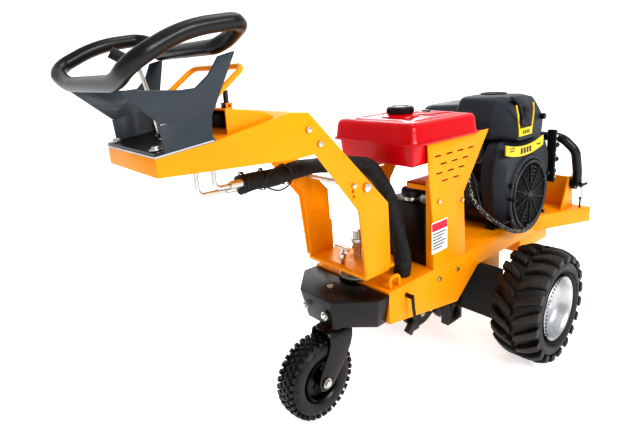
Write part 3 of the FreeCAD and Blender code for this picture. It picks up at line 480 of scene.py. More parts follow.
def spline_tube(name, points, radius, sides=12, closed=False, kind="NURBS"):
    """A round tube on a smooth curve through control points, as a plain mesh."""
    curve = bpy.data.curves.new(name, "CURVE")
    curve.dimensions = "3D"
    curve.resolution_u = 10
    curve.bevel_depth = radius
    curve.bevel_resolution = sides // 4
    curve.use_fill_caps = not closed
    line = curve.splines.new(kind)
    line.points.add(len(points) - 1)
    for spot, point in zip(line.points, points):
        spot.co = (*point, 1.0)
    line.order_u = 3
    line.use_endpoint_u = not closed
    line.use_cyclic_u = closed
    mesh = baked(placed(name, curve))
    smooth(mesh, 50)
    return mesh


# ---------------------------------------------------------------- repeats by geometry nodes


def around(item, count, centre, axis=1, phase=0.0, material=None):
    """Repeats a mesh that sits off an axis through the origin, evenly turned about it."""
    tree = bpy.data.node_groups.new("Turned copies", "GeometryNodeTree")
    face = tree.interface
    for label, kind in (("Geometry", "Geometry"), ("Item", "Object"), ("Count", "Int"), ("Phase", "Float"),
                        ("Centre", "Vector"), ("Finish", "Material")):
        face.new_socket(label, in_out="INPUT", socket_type=f"NodeSocket{kind}")
    face.new_socket("Geometry", in_out="OUTPUT", socket_type="NodeSocketGeometry")
    way_in, way_out, spots, index, info, copies, real, shift, coat, turn, share, angle, late = (
        tree.nodes.new(kind) for kind in (
            "NodeGroupInput", "NodeGroupOutput", "GeometryNodeMeshLine", "GeometryNodeInputIndex",
            "GeometryNodeObjectInfo", "GeometryNodeInstanceOnPoints", "GeometryNodeRealizeInstances",
            "GeometryNodeTransform", "GeometryNodeSetMaterial", "ShaderNodeCombineXYZ", "ShaderNodeMath",
            "ShaderNodeMath", "ShaderNodeMath"))
    spots.inputs["Offset"].default_value = (0, 0, 0)
    share.operation, angle.operation, late.operation = "DIVIDE", "MULTIPLY", "ADD"
    angle.inputs[1].default_value = TAU
    for source, way, target, socket in (
            (way_in, "Count", spots, "Count"), (way_in, "Item", info, "Object"), (index, 0, share, 0),
            (way_in, "Count", share, 1), (share, 0, angle, 0), (angle, 0, late, 0), (way_in, "Phase", late, 1),
            (late, 0, turn, axis), (spots, 0, copies, "Points"), (info, "Geometry", copies, "Instance"),
            (turn, 0, copies, "Rotation"), (copies, 0, real, 0), (real, 0, shift, 0),
            (way_in, "Centre", shift, "Translation"), (shift, 0, coat, 0), (way_in, "Finish", coat, "Material"),
            (coat, 0, way_out, 0)):
        tree.links.new(source.outputs[way], target.inputs[socket])

    original = placed("repeated item", item)
    holder = placed("repeat", bpy.data.meshes.new("repeat"))
    modifier = holder.modifiers.new("Turned copies", "NODES")
    modifier.node_group = tree
    values = {"Item": original, "Count": count, "Phase": phase, "Centre": centre,
              "Finish": material or MATERIALS["black_plastic"]}
    for socket in face.items_tree:
        if socket.in_out == "INPUT" and socket.name in values:
            modifier[socket.identifier] = values[socket.name]
    mesh = baked(holder)
    bpy.data.objects.remove(original)
    smooth(mesh)
    return mesh


def middle(node):
    """Centre of a CAD piece's box."""
    low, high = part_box(node)
    return (low + high) / 2


# ---------------------------------------------------------------- wheels


def tractor_lug(radius, half, base, side, lean):
    """One slanted tread bar from the middle of the tread round the shoulder."""
    rings = []
    for step in range(9):
        share = step / 8
        along = side * (0.004 + (half - 0.006) * share)
        turn = lean * (share ** 0.8) * 0.62
        drop = 0.040 * max(0.0, share - 0.45) ** 1.6
        top = radius - 0.0008 - drop
        root = min(base - drop * 1.1, top - 0.004)
        wide = 0.0105 + 0.005 * share
        ring = []
        for across, level in ((-wide * 1.35, root), (-wide, top), (wide, top), (wide * 1.35, root)):
            angle = turn + across / radius
            ring.append((level * math.sin(angle), along, level * math.cos(angle)))
        rings.append(ring)
    return bevelled(loft(rings), 0.0022, 2)


def wheel_size(node):
    """Centre, radius and half width of a round piece whose axle lies across the machine."""
    low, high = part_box(node)
    return (low + high) / 2, (high.z - low.z) / 2, (high.y - low.y) / 2


def drive_tyre(name):
    """Tractor tyre: a smooth carcass, slanted lugs from both shoulders, beads and sidewall ribs."""
    node = f"drive_tyre_{name}"
    centre, radius, half = wheel_size(node)
    seat = radius * 0.545
    crown = radius - 0.017
    profile = [(seat, 0.030 - half), (seat + 0.012, 0.016 - half), (radius * 0.70, 0.002 - half),
               (radius * 0.80, 0.003 - half), (crown - 0.018, 0.014 - half), (crown - 0.006, 0.030 - half),
               (crown, 0.052 - half)]
    profile += [(r, -y) for r, y in profile[::-1]]
    carcass = applied(lathe(profile, centre, "Y", 72, 80), ("SUBSURF", {"levels": 1, "render_levels": 1}))
    smooth(carcass, 80)
    parts = [carcass]
    lugs = 20
    lean = 0.36  # how far each bar turns back towards the shoulder, in radians
    for edge in (-1, 1):
        lug = tractor_lug(radius, half, crown - 0.004, edge, lean)
        parts.append(around(lug, lugs, centre, phase=math.pi / lugs * (edge > 0),
                            material=MATERIALS["tyre_rubber"]))
    for edge in (-1, 1):
        parts.append(lathe([(seat + 0.013, edge * (half - 0.0135)), (seat + 0.017, edge * (half - 0.0085)),
                            (seat + 0.021, edge * (half - 0.0125))], centre, "Y", 72))
    for edge in (-1, 1):
        rib = slab((-0.0011, edge * half - 0.003, radius * 0.60), (0.0011, edge * (half + 0.0005) + 0.0005,
                                                                  radius * 0.645), 0)
        parts.append(around(rib, 60, centre, material=MATERIALS["tyre_rubber"]))
    stand_in(f"{node}_lugged", joined(parts, node, 40), node)


def drive_rim(name, side):
    """Pressed two-piece rim with its dished centre, hand holes, hub cap and wheel nuts."""
    node = f"drive_rim_{name}"
    centre, lip, _ = wheel_size(node)
    centre.y = middle(f"drive_tyre_{name}").y
    out = side
    half = 0.0745
    outer = [(lip - 0.010, 0.050), (lip - 0.008, 0.060), (lip - 0.003, half - 0.008), (lip, half - 0.003),
             (lip - 0.002, half), (lip - 0.008, half - 0.004), (lip - 0.014, 0.060), (lip - 0.020, 0.040),
             (lip - 0.026, 0.030), (lip - 0.034, 0.026), (0.062, 0.012), (0.052, 0.014), (0.048, 0.020),
             (0.046, 0.016), (0.049, 0.008), (0.062, 0.005), (lip - 0.034, 0.018), (lip - 0.018, 0.020)]
    rim = lathe([(r, out * y) for r, y in outer], centre, "Y", 96, 40)
    inner = lathe([(r, -out * y) for r, y in
                   ((lip - 0.012, -0.052), (lip - 0.010, 0.060), (lip - 0.001, half - 0.003),
                    (lip - 0.003, half), (lip - 0.014, 0.060), (lip - 0.018, -0.048))], centre, "Y", 96, 40)
    hub = lathe([(0.0, out * 0.045), (0.012, out * 0.045), (0.015, out * 0.041), (0.018, out * 0.024),
                 (0.046, out * 0.016), (0.048, out * 0.008), (0.0, out * 0.008)], centre, "Y", 64, 30)
    pocket = collar(0.0045, 0.011, 0.0, out * 0.003, (0, 0, 0), "Y", 20)
    pocket = moved(pocket, (0.066, out * 0.0115, 0))
    parts = [rim, inner, hub, around(pocket, 4, centre, phase=0.5, material=MATERIALS["galvanised"])]
    rib = slab((0.070, out * 0.0155 - 0.0015, -0.010), (0.088, out * 0.0155 + 0.004, 0.010), 0.0015, 2)
    parts.append(around(rib, 8, centre, material=MATERIALS["galvanised"]))
    stand_in(f"{node}_pressed", joined(parts, node, 35), node)
    nut = bevelled(lathe([(0.005, 0.0), (0.0098, 0.0), (0.0098, out * 0.010), (0.005, out * 0.012)],
                         (0, 0, 0), "Y", 6, 30), 0.0008, 1)
    stud = lathe([(0.0, out * 0.004), (0.005, out * 0.004), (0.005, out * 0.017), (0.0, out * 0.018)],
                 (0, 0, 0), "Y", 16)
    pair = moved(joined([nut, stud], "nut"), (0.033, out * 0.0185, 0))
    extra(f"wheel_nuts_{name}", around(pair, 4, centre, phase=math.pi / 4, material=MATERIALS["zinc"]),
          node, MATERIALS["zinc"])


def caster_tyre():
    """Small pneumatic tyre: three rows of blocks, sidewall ticks and moulding whiskers."""
    node = "caster_tyre"
    centre, radius, half = wheel_size(node)
    seat = radius * 0.50
    crown = radius - 0.0065
    profile = [(seat, 0.012 - half), (seat + 0.008, 0.004 - half), (radius * 0.68, 0.0005 - half),
               (radius * 0.82, 0.004 - half), (crown - 0.009, 0.014 - half), (crown, 0.028 - half)]
    profile += [(r, -y) for r, y in profile[::-1]]
    carcass = applied(lathe(profile, centre, "Y", 60, 80), ("SUBSURF", {"levels": 1, "render_levels": 1}))
    smooth(carcass, 80)
    parts = [carcass]

    def block(along, reach, turn, long, wide):
        lump = slab((-long, -wide, -0.004), (long, wide, 0.0055), 0.0010, 1)
        lump.transform(Matrix.Rotation(turn, 4, "Z"))
        tilt = Matrix.Rotation(-math.atan2(along, 0.075) * 0.55, 4, "X")
        lump.transform(Matrix.Translation((0, along, reach)) @ tilt)
        return lump

    count = 34
    parts.append(around(block(0.0, crown - 0.0005, 0.5, 0.0055, 0.0065), count, centre, material=CASTER_RUBBER))
    for edge in (-1, 1):
        parts.append(around(block(edge * 0.0155, crown - 0.0012, -0.5 * edge, 0.0060, 0.0055), count, centre,
                            phase=math.pi / count, material=CASTER_RUBBER))
        parts.append(around(block(edge * 0.0285, crown - 0.0045, 0.0, 0.0068, 0.0055), count, centre,
                            material=CASTER_RUBBER))
        tick = slab((-0.0018, edge * half - 0.0015, radius * 0.80), (0.0018, edge * (half - 0.0005) + 0.0006,
                                                                    radius * 0.86), 0)
        parts.append(around(tick, 22, centre, material=CASTER_RUBBER))
    whiskers = 110
    seed = random.Random(7)
    for _ in range(whiskers):
        angle = seed.uniform(0, TAU)
        along = seed.choice((-0.026, -0.012, 0.0, 0.012, 0.026)) + seed.uniform(-0.003, 0.003)
        long = seed.uniform(0.003, 0.0085)
        root = crown + 0.002 - abs(along) * 0.15
        hair = lathe([(0.0, 0.0), (0.00065, 0.0), (0.0003, long), (0.0, long)], (0, 0, 0), "Z", 5)
        lean = Matrix.Rotation(seed.uniform(-0.4, 0.4), 4, "X") @ Matrix.Rotation(seed.uniform(-0.4, 0.4), 4, "Y")
        hair.transform(Matrix.Rotation(angle, 4, "Y") @ Matrix.Translation((0, along, root)) @ lean)
        hair.transform(Matrix.Translation(centre))
        parts.append(hair)
    stand_in("caster_tyre_blocked", joined(parts, node, 40), node, CASTER_RUBBER)


def caster_rim():
    """Two pressed halves with a plain bearing hub and four bolts on each side."""
    node = "caster_rim"
    centre, lip, half = wheel_size(node)
    parts = []
    for out in (-1, 1):
        dish = [(lip - 0.004, 0.004), (lip - 0.003, half - 0.010), (lip, half - 0.005), (lip - 0.002, half - 0.001),
                (lip - 0.007, half - 0.006), (lip - 0.010, 0.014), (0.030, 0.008), (0.020, 0.012), (0.018, half),
                (0.0085, half), (0.0085, 0.002), (lip - 0.006, 0.002)]
        parts.append(lathe([(r, out * y) for r, y in dish], centre, "Y", 72, 40))
        knob = lathe([(0.0, out * 0.008), (0.006, out * 0.008), (0.006, out * 0.013), (0.0, out * 0.015)],
                     (0, 0, 0), "Y", 6, 30)
        parts.append(around(moved(knob, (0.034, 0, 0)), 4, centre, phase=0.4))
    stand_in("caster_rim_pressed", joined(parts, node, 35), node)


# ---------------------------------------------------------------- engine


def fan_shroud():
    """Rounded fan cowling: swept shoulders, a raised ring round the fan and side bosses."""
    node = "fan_shroud"
    low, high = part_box(node)
    guard_low, guard_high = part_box("fan_guard")
    eye = Vector(((guard_low.x + guard_high.x) / 2, (guard_low.z + guard_high.z) / 2))
    reach = (guard_high.x - guard_low.x) / 2
    wide = (high.x - low.x) / 2
    centre = (low.x + high.x) / 2
    face = low.y
    half_shape = [(0.070, 0.0), (0.026, 0.055), (0.0, high.z - low.z - 0.150), (0.004, high.z - low.z - 0.078),
                  (0.050, high.z - low.z)]
    corners = [(centre - wide + tuck, low.z + rise) for tuck, rise in half_shape]
    corners += [(centre + wide - tuck, low.z + rise) for tuck, rise in half_shape[::-1]]
    count = 120
    outline = rounded_outline([Vector(c) for c in corners], 0.024, count)
    start = min(range(count), key=lambda i: abs(math.atan2(outline[i].y - eye.y, outline[i].x - eye.x)))
    outline = outline[start:] + outline[:start]
    turning = outline[5].y > outline[0].y

    def circle(radius, along):
        spots = []
        for index in range(count):
            angle = TAU * index / count * (1 if turning else -1)
            spots.append((eye.x + radius * math.cos(angle), along, eye.y + radius * math.sin(angle)))
        return spots

    def edge(amount, along):
        return [(spot.x, along, spot.y) for spot in inset(outline, amount)]

    rings = [edge(0.010, high.y + 0.038), edge(0.006, high.y + 0.034), edge(0.003, high.y - 0.004),
             edge(0.0, high.y - 0.006), edge(0.0, face + 0.042), edge(0.0025, face + 0.037),
             edge(0.026, face + 0.009), edge(0.031, face + 0.005), circle(reach + 0.022, face + 0.003),
             circle(reach + 0.018, face - 0.004), circle(reach + 0.006, face - 0.005),
             circle(reach + 0.001, face + 0.002), circle(reach - 0.005, face + 0.004),
             circle(reach - 0.008, face + 0.030)]
    shell = applied(loft(rings, 26, capped=False), ("SOLIDIFY", {"thickness": 0.003, "offset": 0.0}))
    smooth(shell, 28)
    groove = lathe([(reach + 0.011, -0.0062), (reach + 0.014, -0.0066), (reach + 0.016, -0.0045),
                    (reach + 0.011, -0.0040)], (eye.x, face, eye.y), "Y", 96)
    stand_in("fan_shroud_moulded", joined([shell, groove], node, 28), node)
    ears = []
    for angle in (2.75, 3.6, 0.35, 5.6):
        spot = (eye.x + (reach + 0.026) * math.cos(angle), face - 0.002, eye.y + (reach + 0.026) * math.sin(angle))
        ears.append(lathe([(0.0, -0.010), (0.006, -0.010), (0.0075, -0.008), (0.0075, 0.006), (0.0, 0.006)],
                          spot, "Y", 16, 30))
    spike = lathe([(0.0, -0.030), (0.005, -0.030), (0.006, -0.024), (0.006, 0.004), (0.0, 0.004)],
                  (eye.x - reach - 0.022, face, eye.y + 0.012), "Y", 16, 30)
    extra("cowl_screws", joined(ears + [spike], "ears"), node, MATERIALS["black_plastic"])


def fan_guard():
    """Round screen: dished frame, rings of slots between fine bars, and stiff spokes."""
    node = "fan_guard"
    low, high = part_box(node)
    centre = Vector(((low.x + high.x) / 2, low.y, (low.z + high.z) / 2))
    reach = (high.x - low.x) / 2
    finish = MATERIALS["black_plastic"]
    frame_ring = lathe([(reach - 0.012, -0.001), (reach - 0.010, -0.004), (reach - 0.003, -0.004),
                        (reach, -0.001), (reach, 0.006), (reach - 0.013, 0.006)], centre, "Y", 96)
    parts = [frame_ring]
    for index in range(7):
        radius = 0.020 + index * (reach - 0.034) / 7
        parts.append(lathe([(radius, 0.0), (radius + 0.0022, -0.0006), (radius + 0.0022, 0.003), (radius, 0.003)],
                           centre, "Y", 72))
    fine = slab((0.020, 0.0004, -0.0007), (reach - 0.010, 0.0034, 0.0007), 0)
    parts.append(around(fine, 90, centre, material=finish))
    hub = lathe([(0.0, -0.003), (0.012, -0.003), (0.018, 0.0), (0.018, 0.004), (0.0, 0.004)], centre, "Y", 40)
    parts.append(hub)
    stand_in("fan_guard_screen", joined(parts, node, 30), node)
    spoke = slab((0.012, -0.0035, -0.0015), (reach - 0.008, 0.0015, 0.0015), 0.0005, 1)
    extra("fan_guard_spokes", around(spoke, 10, centre, phase=0.3, material=MATERIALS["engine_cover"]), node,
          MATERIALS["engine_cover"])
    # painted shade: a black disc behind the screen stands in for the shadow inside the cowling, so the slots read
    # dark
    back = peg(reach - 0.012, 0.012, 0.014, centre, "Y", 48)
    extra("fan_screen_backing", back, node, BLACK_INK)


def air_cleaner_cover():
    """Tall rounded housing over the carburettor with a ribbed centre strip and a yellow surround."""
    node = "air_cleaner_cover"
    low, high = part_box(node)
    centre = (low.x + high.x) / 2
    face = low.y
    wide = (high.x - low.x) / 2
    tall = high.z - low.z

    def section(shrink, top_drop):
        w = wide - shrink
        top = high.z - top_drop
        corners = [(centre - w + 0.012, low.z), (centre - w, low.z + tall * 0.42), (centre - w + 0.048, top - 0.006),
                   (centre - w + 0.075, top), (centre + w - 0.075, top), (centre + w - 0.048, top - 0.006),
                   (centre + w, low.z + tall * 0.42), (centre + w - 0.012, low.z)]
        return rounded_outline([Vector(c) for c in corners], 0.018, 84)

    rings = []
    step = 0.060
    for along, shrink, drop in ((face + 0.0005, 0.054, 0.048), (face + 0.003, 0.047, 0.040),
                                (face + 0.028, 0.030, 0.012), (face + 0.034, 0.026, 0.007),
                                (face + 0.078, 0.004, 0.001), (face + 0.084, 0.001, 0.0), (step - 0.008, 0.0, 0.0),
                                (step, 0.003, 0.004), (step + 0.008, 0.007, 0.018), (step + 0.014, 0.008, 0.026),
                                (high.y - 0.060, 0.009, 0.031), (high.y - 0.020, 0.013, 0.038),
                                (high.y - 0.005, 0.022, 0.050), (high.y, 0.036, 0.064)):
        rings.append([(spot.x, along, spot.y) for spot in section(shrink, drop)])
    body = loft(rings, 24)
    dish = lathe([(0.050, 0.0), (0.052, 0.005), (0.047, 0.006), (0.042, 0.002), (0.0, 0.0012), (0.0, 0.0)],
                 (centre + 0.050, 0.004, high.z - 0.001), "Z", 64, 30)
    stand_in("air_cleaner_housing", joined([body, dish], node, 24), node)
    front = centre - 0.046
    strip_half = 0.052
    path = [(face + 0.036, high.z + 0.0015), (face + 0.026, high.z - 0.001), (face + 0.004, high.z - 0.026),
            (face - 0.005, high.z - 0.060), (face - 0.006, high.z - 0.104)]
    rings = []
    for index, (along, level) in enumerate(path):
        taper = strip_half - 0.005 * index
        thick = 0.006
        rings.append([(front - taper, along, level), (front + taper, along, level),
                      (front + taper, along + thick, level - thick), (front - taper, along + thick, level - thick)])
    strip = bevelled(loft(rings, 10), 0.0012, 2, 50)
    ribs = []
    for step in range(7):
        share = 0.036 + step * 0.0095
        ribs.append(slab((front - 0.025, face - 0.0100, high.z - share - 0.0066),
                         (front + 0.025, face + 0.003, high.z - share - 0.0025), 0.0008, 1))
    extra("cover_centre_strip", strip, node)
    extra("cover_strip_ribs", joined(ribs, "ribs"), node, MATERIALS["black_plastic"])
    trims = []
    for side in (-1, 1):
        run = []
        for along, level, reach in ((face + 0.002, high.z - 0.028, 0.070), (face - 0.0035, high.z - 0.062, 0.065),
                                    (face - 0.0045, high.z - 0.120, 0.053), (face - 0.0045, high.z - 0.140, 0.048)):
            run.append([(front + side * reach, along, level), (front + side * (reach - 0.007), along, level),
                        (front + side * (reach - 0.007), along + 0.004, level),
                        (front + side * reach, along + 0.004, level)])
        trims.append(loft(run, 30))
    trims.append(slab((front - 0.051, face - 0.0048, high.z - 0.146), (front + 0.051, face + 0.0005,
                                                                      high.z - 0.116), 0.0015, 2))
    extra("cover_yellow_surround", joined(trims, "trim"), node, YELLOW_INK)
    badge = [slab((front - 0.026 + step * 0.0145, face - 0.0054, high.z - 0.139),
                  (front - 0.017 + step * 0.0145, face - 0.004, high.z - 0.125), 0) for step in range(4)]
    extra("cover_badge_marks", joined(badge, "badge"), node, BLACK_INK)
    grips = []
    for x in (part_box("cover_knobs")[0].x + 0.011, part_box("cover_knobs")[1].x - 0.011):
        level = middle("cover_knobs").z
        knob = lathe([(0.0, -0.020), (0.008, -0.020), (0.0105, -0.017), (0.0105, -0.004), (0.006, 0.0),
                      (0.006, 0.012), (0.0, 0.012)], (0, 0, 0), "Y", 24, 35)
        flute = slab((0.0095, -0.017, -0.0012), (0.0118, -0.005, 0.0012), 0.0004, 1)
        fluted = joined([knob, around(flute, 10, (0, 0, 0))], "knob")
        grips.append(moved(fluted, (centre + (x - centre) * 0.80, face + 0.004, level)))
    stand_in("cover_knobs_fluted", joined(grips, "knobs", 35), "cover_knobs")


def band(middle_x, middle_z, half, low_edge, high_edge, sag, face, thick):
    """A flat strip on the cowl's face that curves up towards both ends."""
    rings = []
    for step in range(25):
        share = step / 12 - 1
        x = middle_x + half * share
        lift = middle_z + sag * share * share
        rings.append([(x, face - thick, lift + low_edge), (x, face - thick, lift + high_edge),
                      (x, face + 0.004, lift + high_edge), (x, face + 0.004, lift + low_edge)])
    return loft(rings, 30)


def arc_label():
    """Yellow band on the cowl below the housing, with printed marks in place of lettering."""
    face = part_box("fan_shroud")[0].y
    extra("cowl_yellow_band", band(0.182, 0.708, 0.148, -0.019, 0.019, 0.020, face, 0.0016), "fan_shroud",
          YELLOW_INK)
    marks = [band(0.076, 0.7265, 0.018, edge, edge + 0.004, 0.0, face, 0.0024) for edge in (-0.009, 0.001)]
    marks += [band(0.150 + step * 0.023, 0.709, 0.0075, -0.011, 0.011, 0.0, face, 0.0024) for step in range(4)]
    marks += [band(0.288, 0.720, 0.016, edge, edge + 0.006, 0.003, face, 0.0024) for edge in (-0.006,)]
    extra("cowl_band_marks", joined(marks, "marks"), "fan_shroud", BLACK_INK)


def control_panel():
    """Switch panel beside the cowling: recessed face, screws, pull knobs and a key with its bow."""
    node = "control_panel"
    low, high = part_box(node)
    body = slab(low, (high.x, low.y + 0.036, high.z), 0.003, 3)
    lip = slab((high.x - 0.004, low.y + 0.004, low.z + 0.015), (high.x + 0.0002, low.y + 0.033, high.z - 0.018),
               0.002)
    screws = []
    for level in (low.z + 0.022, middle(node).z, high.z - 0.025):
        screws.append(lathe([(0.0, -0.004), (0.005, -0.004), (0.006, -0.002), (0.006, 0.003), (0.0, 0.003)],
                            (middle(node).x, low.y, level), "Y", 16))
    stand_in("control_panel_moulded", joined([body, lip], node, 30), node)
    marks = [slab((middle(node).x - 0.0035, low.y - 0.0006, level - 0.005), (middle(node).x + 0.0035, low.y + 0.0010,
                                                                           level + 0.005), 0)
             for level in (low.z + 0.062, low.z + 0.080, low.z + 0.126, low.z + 0.172)]
    extra("panel_marks", joined(marks, "marks"), node, WHITE_LABEL)
    extra("panel_screws", joined(screws, "screws"), node, MATERIALS["zinc"])
    for knob, cap in (("choke_knob", 0.0105), ("throttle_knob", 0.0095)):
        low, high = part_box(knob)
        spot = (low.x, (low.y + high.y) / 2, (low.z + high.z) / 2)
        long = high.x - low.x
        grip = lathe([(0.0, 0.0), (0.004, 0.0), (0.004, long * 0.45), (cap * 0.8, long * 0.5), (cap, long * 0.6),
                      (cap, long * 0.9), (cap * 0.7, long), (0.0, long)], (0, 0, 0), "X", 28, 35)
        flute = slab((long * 0.60, -0.0010, cap - 0.0008), (long * 0.9, 0.0010, cap + 0.0010), 0)
        fluted = joined([grip, around(flute, 12, (0, 0, 0), axis=0)], knob)
        stand_in(f"{knob}_fluted", moved(fluted, spot), knob)
    low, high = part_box("ignition_key")
    spot = Vector((low.x, (low.y + high.y) / 2, (low.z + high.z) / 2))
    barrel = lathe([(0.004, 0.0), (0.0088, 0.0), (0.0088, 0.006), (0.007, 0.008), (0.004, 0.008)], spot, "X", 28)
    bow = slab((spot.x + 0.006, spot.y - 0.0014, spot.z - 0.009), (high.x, spot.y + 0.0014, spot.z + 0.009), 0.0012)
    stand_in("ignition_key_cut", joined([barrel, bow], "key"), "ignition_key", MATERIALS["zinc"])


def engine_block():
    """Finned heads, case, muffler, rails and the fan behind the screen."""
    soften("cylinder_heads", 0.0008)
    soften("crankcase", 0.006)
    soften("engine_rails", 0.0015)
    soften("muffler", 0.006)
    soften("crankshaft", 0.0006)
    node = "cooling_fan"
    low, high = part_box(node)
    spot = middle(node)
    spot.y = high.y - 0.006
    reach = (high.x - low.x) / 2
    disc = lathe([(0.0, 0.0), (reach - 0.002, 0.0), (reach, 0.003), (reach - 0.002, 0.006), (0.0, 0.006)], spot,
                 "Y", 64)
    hub = lathe([(0.0, low.y - spot.y), (0.026, low.y - spot.y), (0.030, 0.0), (0.0, 0.0)], spot, "Y", 40)
    blade = slab((0.036, -0.018, -0.0012), (reach - 0.004, 0.001, 0.0012), 0)
    blade.transform(Matrix.Rotation(0.35, 4, "X"))
    stand_in("cooling_fan_bladed", joined([disc, hub, around(blade, 18, spot)], node, 30), node)
    low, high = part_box("crankcase")
    details = []
    for x in (low.x + 0.03, middle("crankcase").x, high.x - 0.03):
        for z in (low.z + 0.03, high.z - 0.03):
            details.append(lathe([(0.0, -0.006), (0.007, -0.006), (0.008, 0.002), (0.0, 0.002)],
                                 (x, high.y + 0.003, z), "Y", 6, 30))
    oil_filter = lathe([(0.0, -0.002), (0.036, -0.002), (0.038, 0.004), (0.038, 0.060), (0.034, 0.066),
                        (0.0, 0.067)], (low.x - 0.0, -0.09, low.z + 0.07), "Y", 40, 30)
    extra("crankcase_bolts", joined(details, "bolts"), "crankcase", MATERIALS["zinc"])
    extra("oil_filter", moved(oil_filter, (-0.030, 0, 0)), "crankcase", MATERIALS["black_paint"])
    drain = peg(0.008, -0.006, 0.03, (low.x - 0.030, 0.03, low.z + 0.018), "X", 6, 30)
    extra("drain_plug", drain, "crankcase", MATERIALS["zinc"])


def loom():
    """Wiring loom with painted glints that hangs from the tank post to the foot of the cowling."""
    route = [(-0.146, -0.145, 0.696), (-0.170, -0.152, 0.650), (-0.176, -0.176, 0.590), (-0.118, -0.197, 0.521),
             (0.024, -0.207, 0.432), (0.120, -0.209, 0.404), (0.176, -0.205, 0.396), (0.211, -0.1932, 0.402)]
    stand_in("wiring_loom_braided", spline_tube("loom", route, 0.0080, 16), "wiring_loom", LOOM)
    cable = [(-0.150, -0.150, 0.690), (-0.152, -0.172, 0.655), (-0.160, -0.184, 0.610), (-0.140, -0.190, 0.550)]
    extra("post_cable", spline_tube("cable", cable, 0.0032, 12), "wiring_loom", MATERIALS["black_plastic"])


# ---------------------------------------------------------------- chassis, fork and bumper


def bolt_head(radius, height, flat=6, washer=1.45):
    """Hexagon bolt with a washer, standing out along -Y from the origin."""
    head = bevelled(lathe([(0.0, -height), (radius * 0.86, -height), (radius, -height * 0.82), (radius, 0.0),
                           (0.0, 0.0)], (0, 0, 0), "Y", flat, 30), 0.0004, 1)
    ring = collar(radius * 0.5, radius * washer, -0.0016, 0.0006, (0, 0, 0), "Y", 28, 30)
    return joined([head, ring], "bolt head", 30)


def caster_fork():
    """Fork pressed from thick plate: swelling legs that flare to the wheel, with a rolled crown."""
    node = "caster_fork"
    low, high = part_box(node)
    wheel_low, wheel_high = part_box("caster_tyre")
    axle = (wheel_low + wheel_high) / 2
    stem_x = axle.x + 0.080
    half = (high.y - low.y) / 2
    plate = 0.008
    crown = wheel_high.z + 0.016
    legs = []
    for side in (-1, 1):
        rings = []
        for level, back, front, out in ((axle.z - 0.026, -0.012, 0.018, half - 0.001),
                                        (axle.z - 0.020, -0.022, 0.032, half - 0.0005),
                                        (axle.z, -0.026, 0.048, half), (axle.z + 0.022, -0.022, 0.066, half),
                                        (axle.z + 0.050, -0.006, 0.090, half - 0.001),
                                        (axle.z + 0.080, 0.016, 0.112, half - 0.003),
                                        (axle.z + 0.105, 0.028, 0.121, half - 0.004),
                                        (crown - 0.022, 0.030, 0.124, half - 0.006),
                                        (crown - 0.008, 0.028, 0.124, half - 0.012),
                                        (crown + 0.001, 0.026, 0.123, half - 0.022),
                                        (crown + 0.005, 0.026, 0.122, half - 0.040)):
            outer = side * out
            inner = side * (out - plate)
            x0, x1 = axle.x + back, axle.x + front
            ring = []
            for share in (0.0, 0.08, 0.3, 0.7, 0.92, 1.0):
                bulge = 0.004 * math.sin(math.pi * share)
                ring.append((x0 + (x1 - x0) * share, outer + side * (bulge - 0.004), level))
            for share in (1.0, 0.92, 0.7, 0.3, 0.08, 0.0):
                ring.append((x0 + (x1 - x0) * share, inner, level))
            rings.append(ring)
        legs.append(bevelled(loft(rings, 40), 0.0014, 2, 55))
    outline = rounded_outline([Vector(c) for c in (
        (axle.x + 0.022, -half + 0.030), (axle.x + 0.124, -half + 0.030), (axle.x + 0.124, half - 0.030),
        (axle.x + 0.022, half - 0.030))], 0.030, 40)
    rings = [[(spot.x, spot.y, crown + level) for spot in inset(outline, amount)]
             for level, amount in ((-0.003, 0.001), (0.003, 0.0), (0.006, 0.003), (0.007, 0.010))]
    crown_plate = loft(rings, 30)
    top = high.z
    head = lathe([(0.0, crown - 0.004), (0.040, crown - 0.004), (0.040, crown + 0.006), (0.034, crown + 0.012),
                  (0.024, crown + 0.014), (0.0145, crown + 0.016), (0.0145, top), (0.0, top)],
                 (stem_x, axle.y, 0), "Z", 48, 30)
    bosses = [collar(0.0088, 0.017, side * (half - 0.009), side * (half + 0.0005), (axle.x, 0, axle.z), "Y", 36, 30)
              for side in (-1, 1)]
    stand_in("caster_fork_pressed", joined(legs + [crown_plate, head] + bosses, node, 35), node,
             MATERIALS["black_paint"])
    soften("caster_axle", 0.0008)
    ring = collar(0.008, 0.0155, -0.0022, 0.0, (axle.x, -half - 0.0004, axle.z), "Y", 36, 30)
    nipple = lathe([(0.0, -0.006), (0.003, -0.006), (0.0035, 0.0), (0.0, 0.0)],
                   (stem_x + 0.02, -0.030, crown + 0.010), "Z", 12, 30)
    extra("caster_axle_washer", joined([ring, moved(nipple, (0, 0, 0.006))], "washer"), "caster_axle")


def bumper_details():
    """Caster bumper with eased edges and two bolts on its nose."""
    node = "bumper"
    soften(node, 0.0025)
    low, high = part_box(node)
    heads = []
    for y, drop in ((-0.040, 0.052), (0.046, 0.046)):
        head = bolt_head(0.009, 0.008)
        head.transform(Matrix.Rotation(-math.pi / 2, 4, "Z"))
        heads.append(moved(head, (low.x - 0.0005, y, high.z - drop)))
    extra("bumper_nose_bolts", joined(heads, "bolts", 30), node, MATERIALS["zinc"])


def chassis_details():
    """Plates, bearings and bolts of the chassis with eased edges."""
    for node, width in (("chassis_frame", 0.0016), ("deck", 0.0014), ("tie_down_loops", 0.0012),
                        ("side_lever", 0.0012), ("hydraulic_box", 0.004), ("belt_guard", 0.002),
                        ("back_plate", 0.0016), ("cutter_bearings", 0.0015), ("wheel_motors", 0.002),
                        ("chip_curtain", 0.0006), ("cutter_shaft", 0.0006), ("chassis_bolts", 0.0006),
                        ("arm_bolts", 0.0005), ("tank_posts", 0.0008)):
        soften(node, width)


# ---------------------------------------------------------------- fuel tank


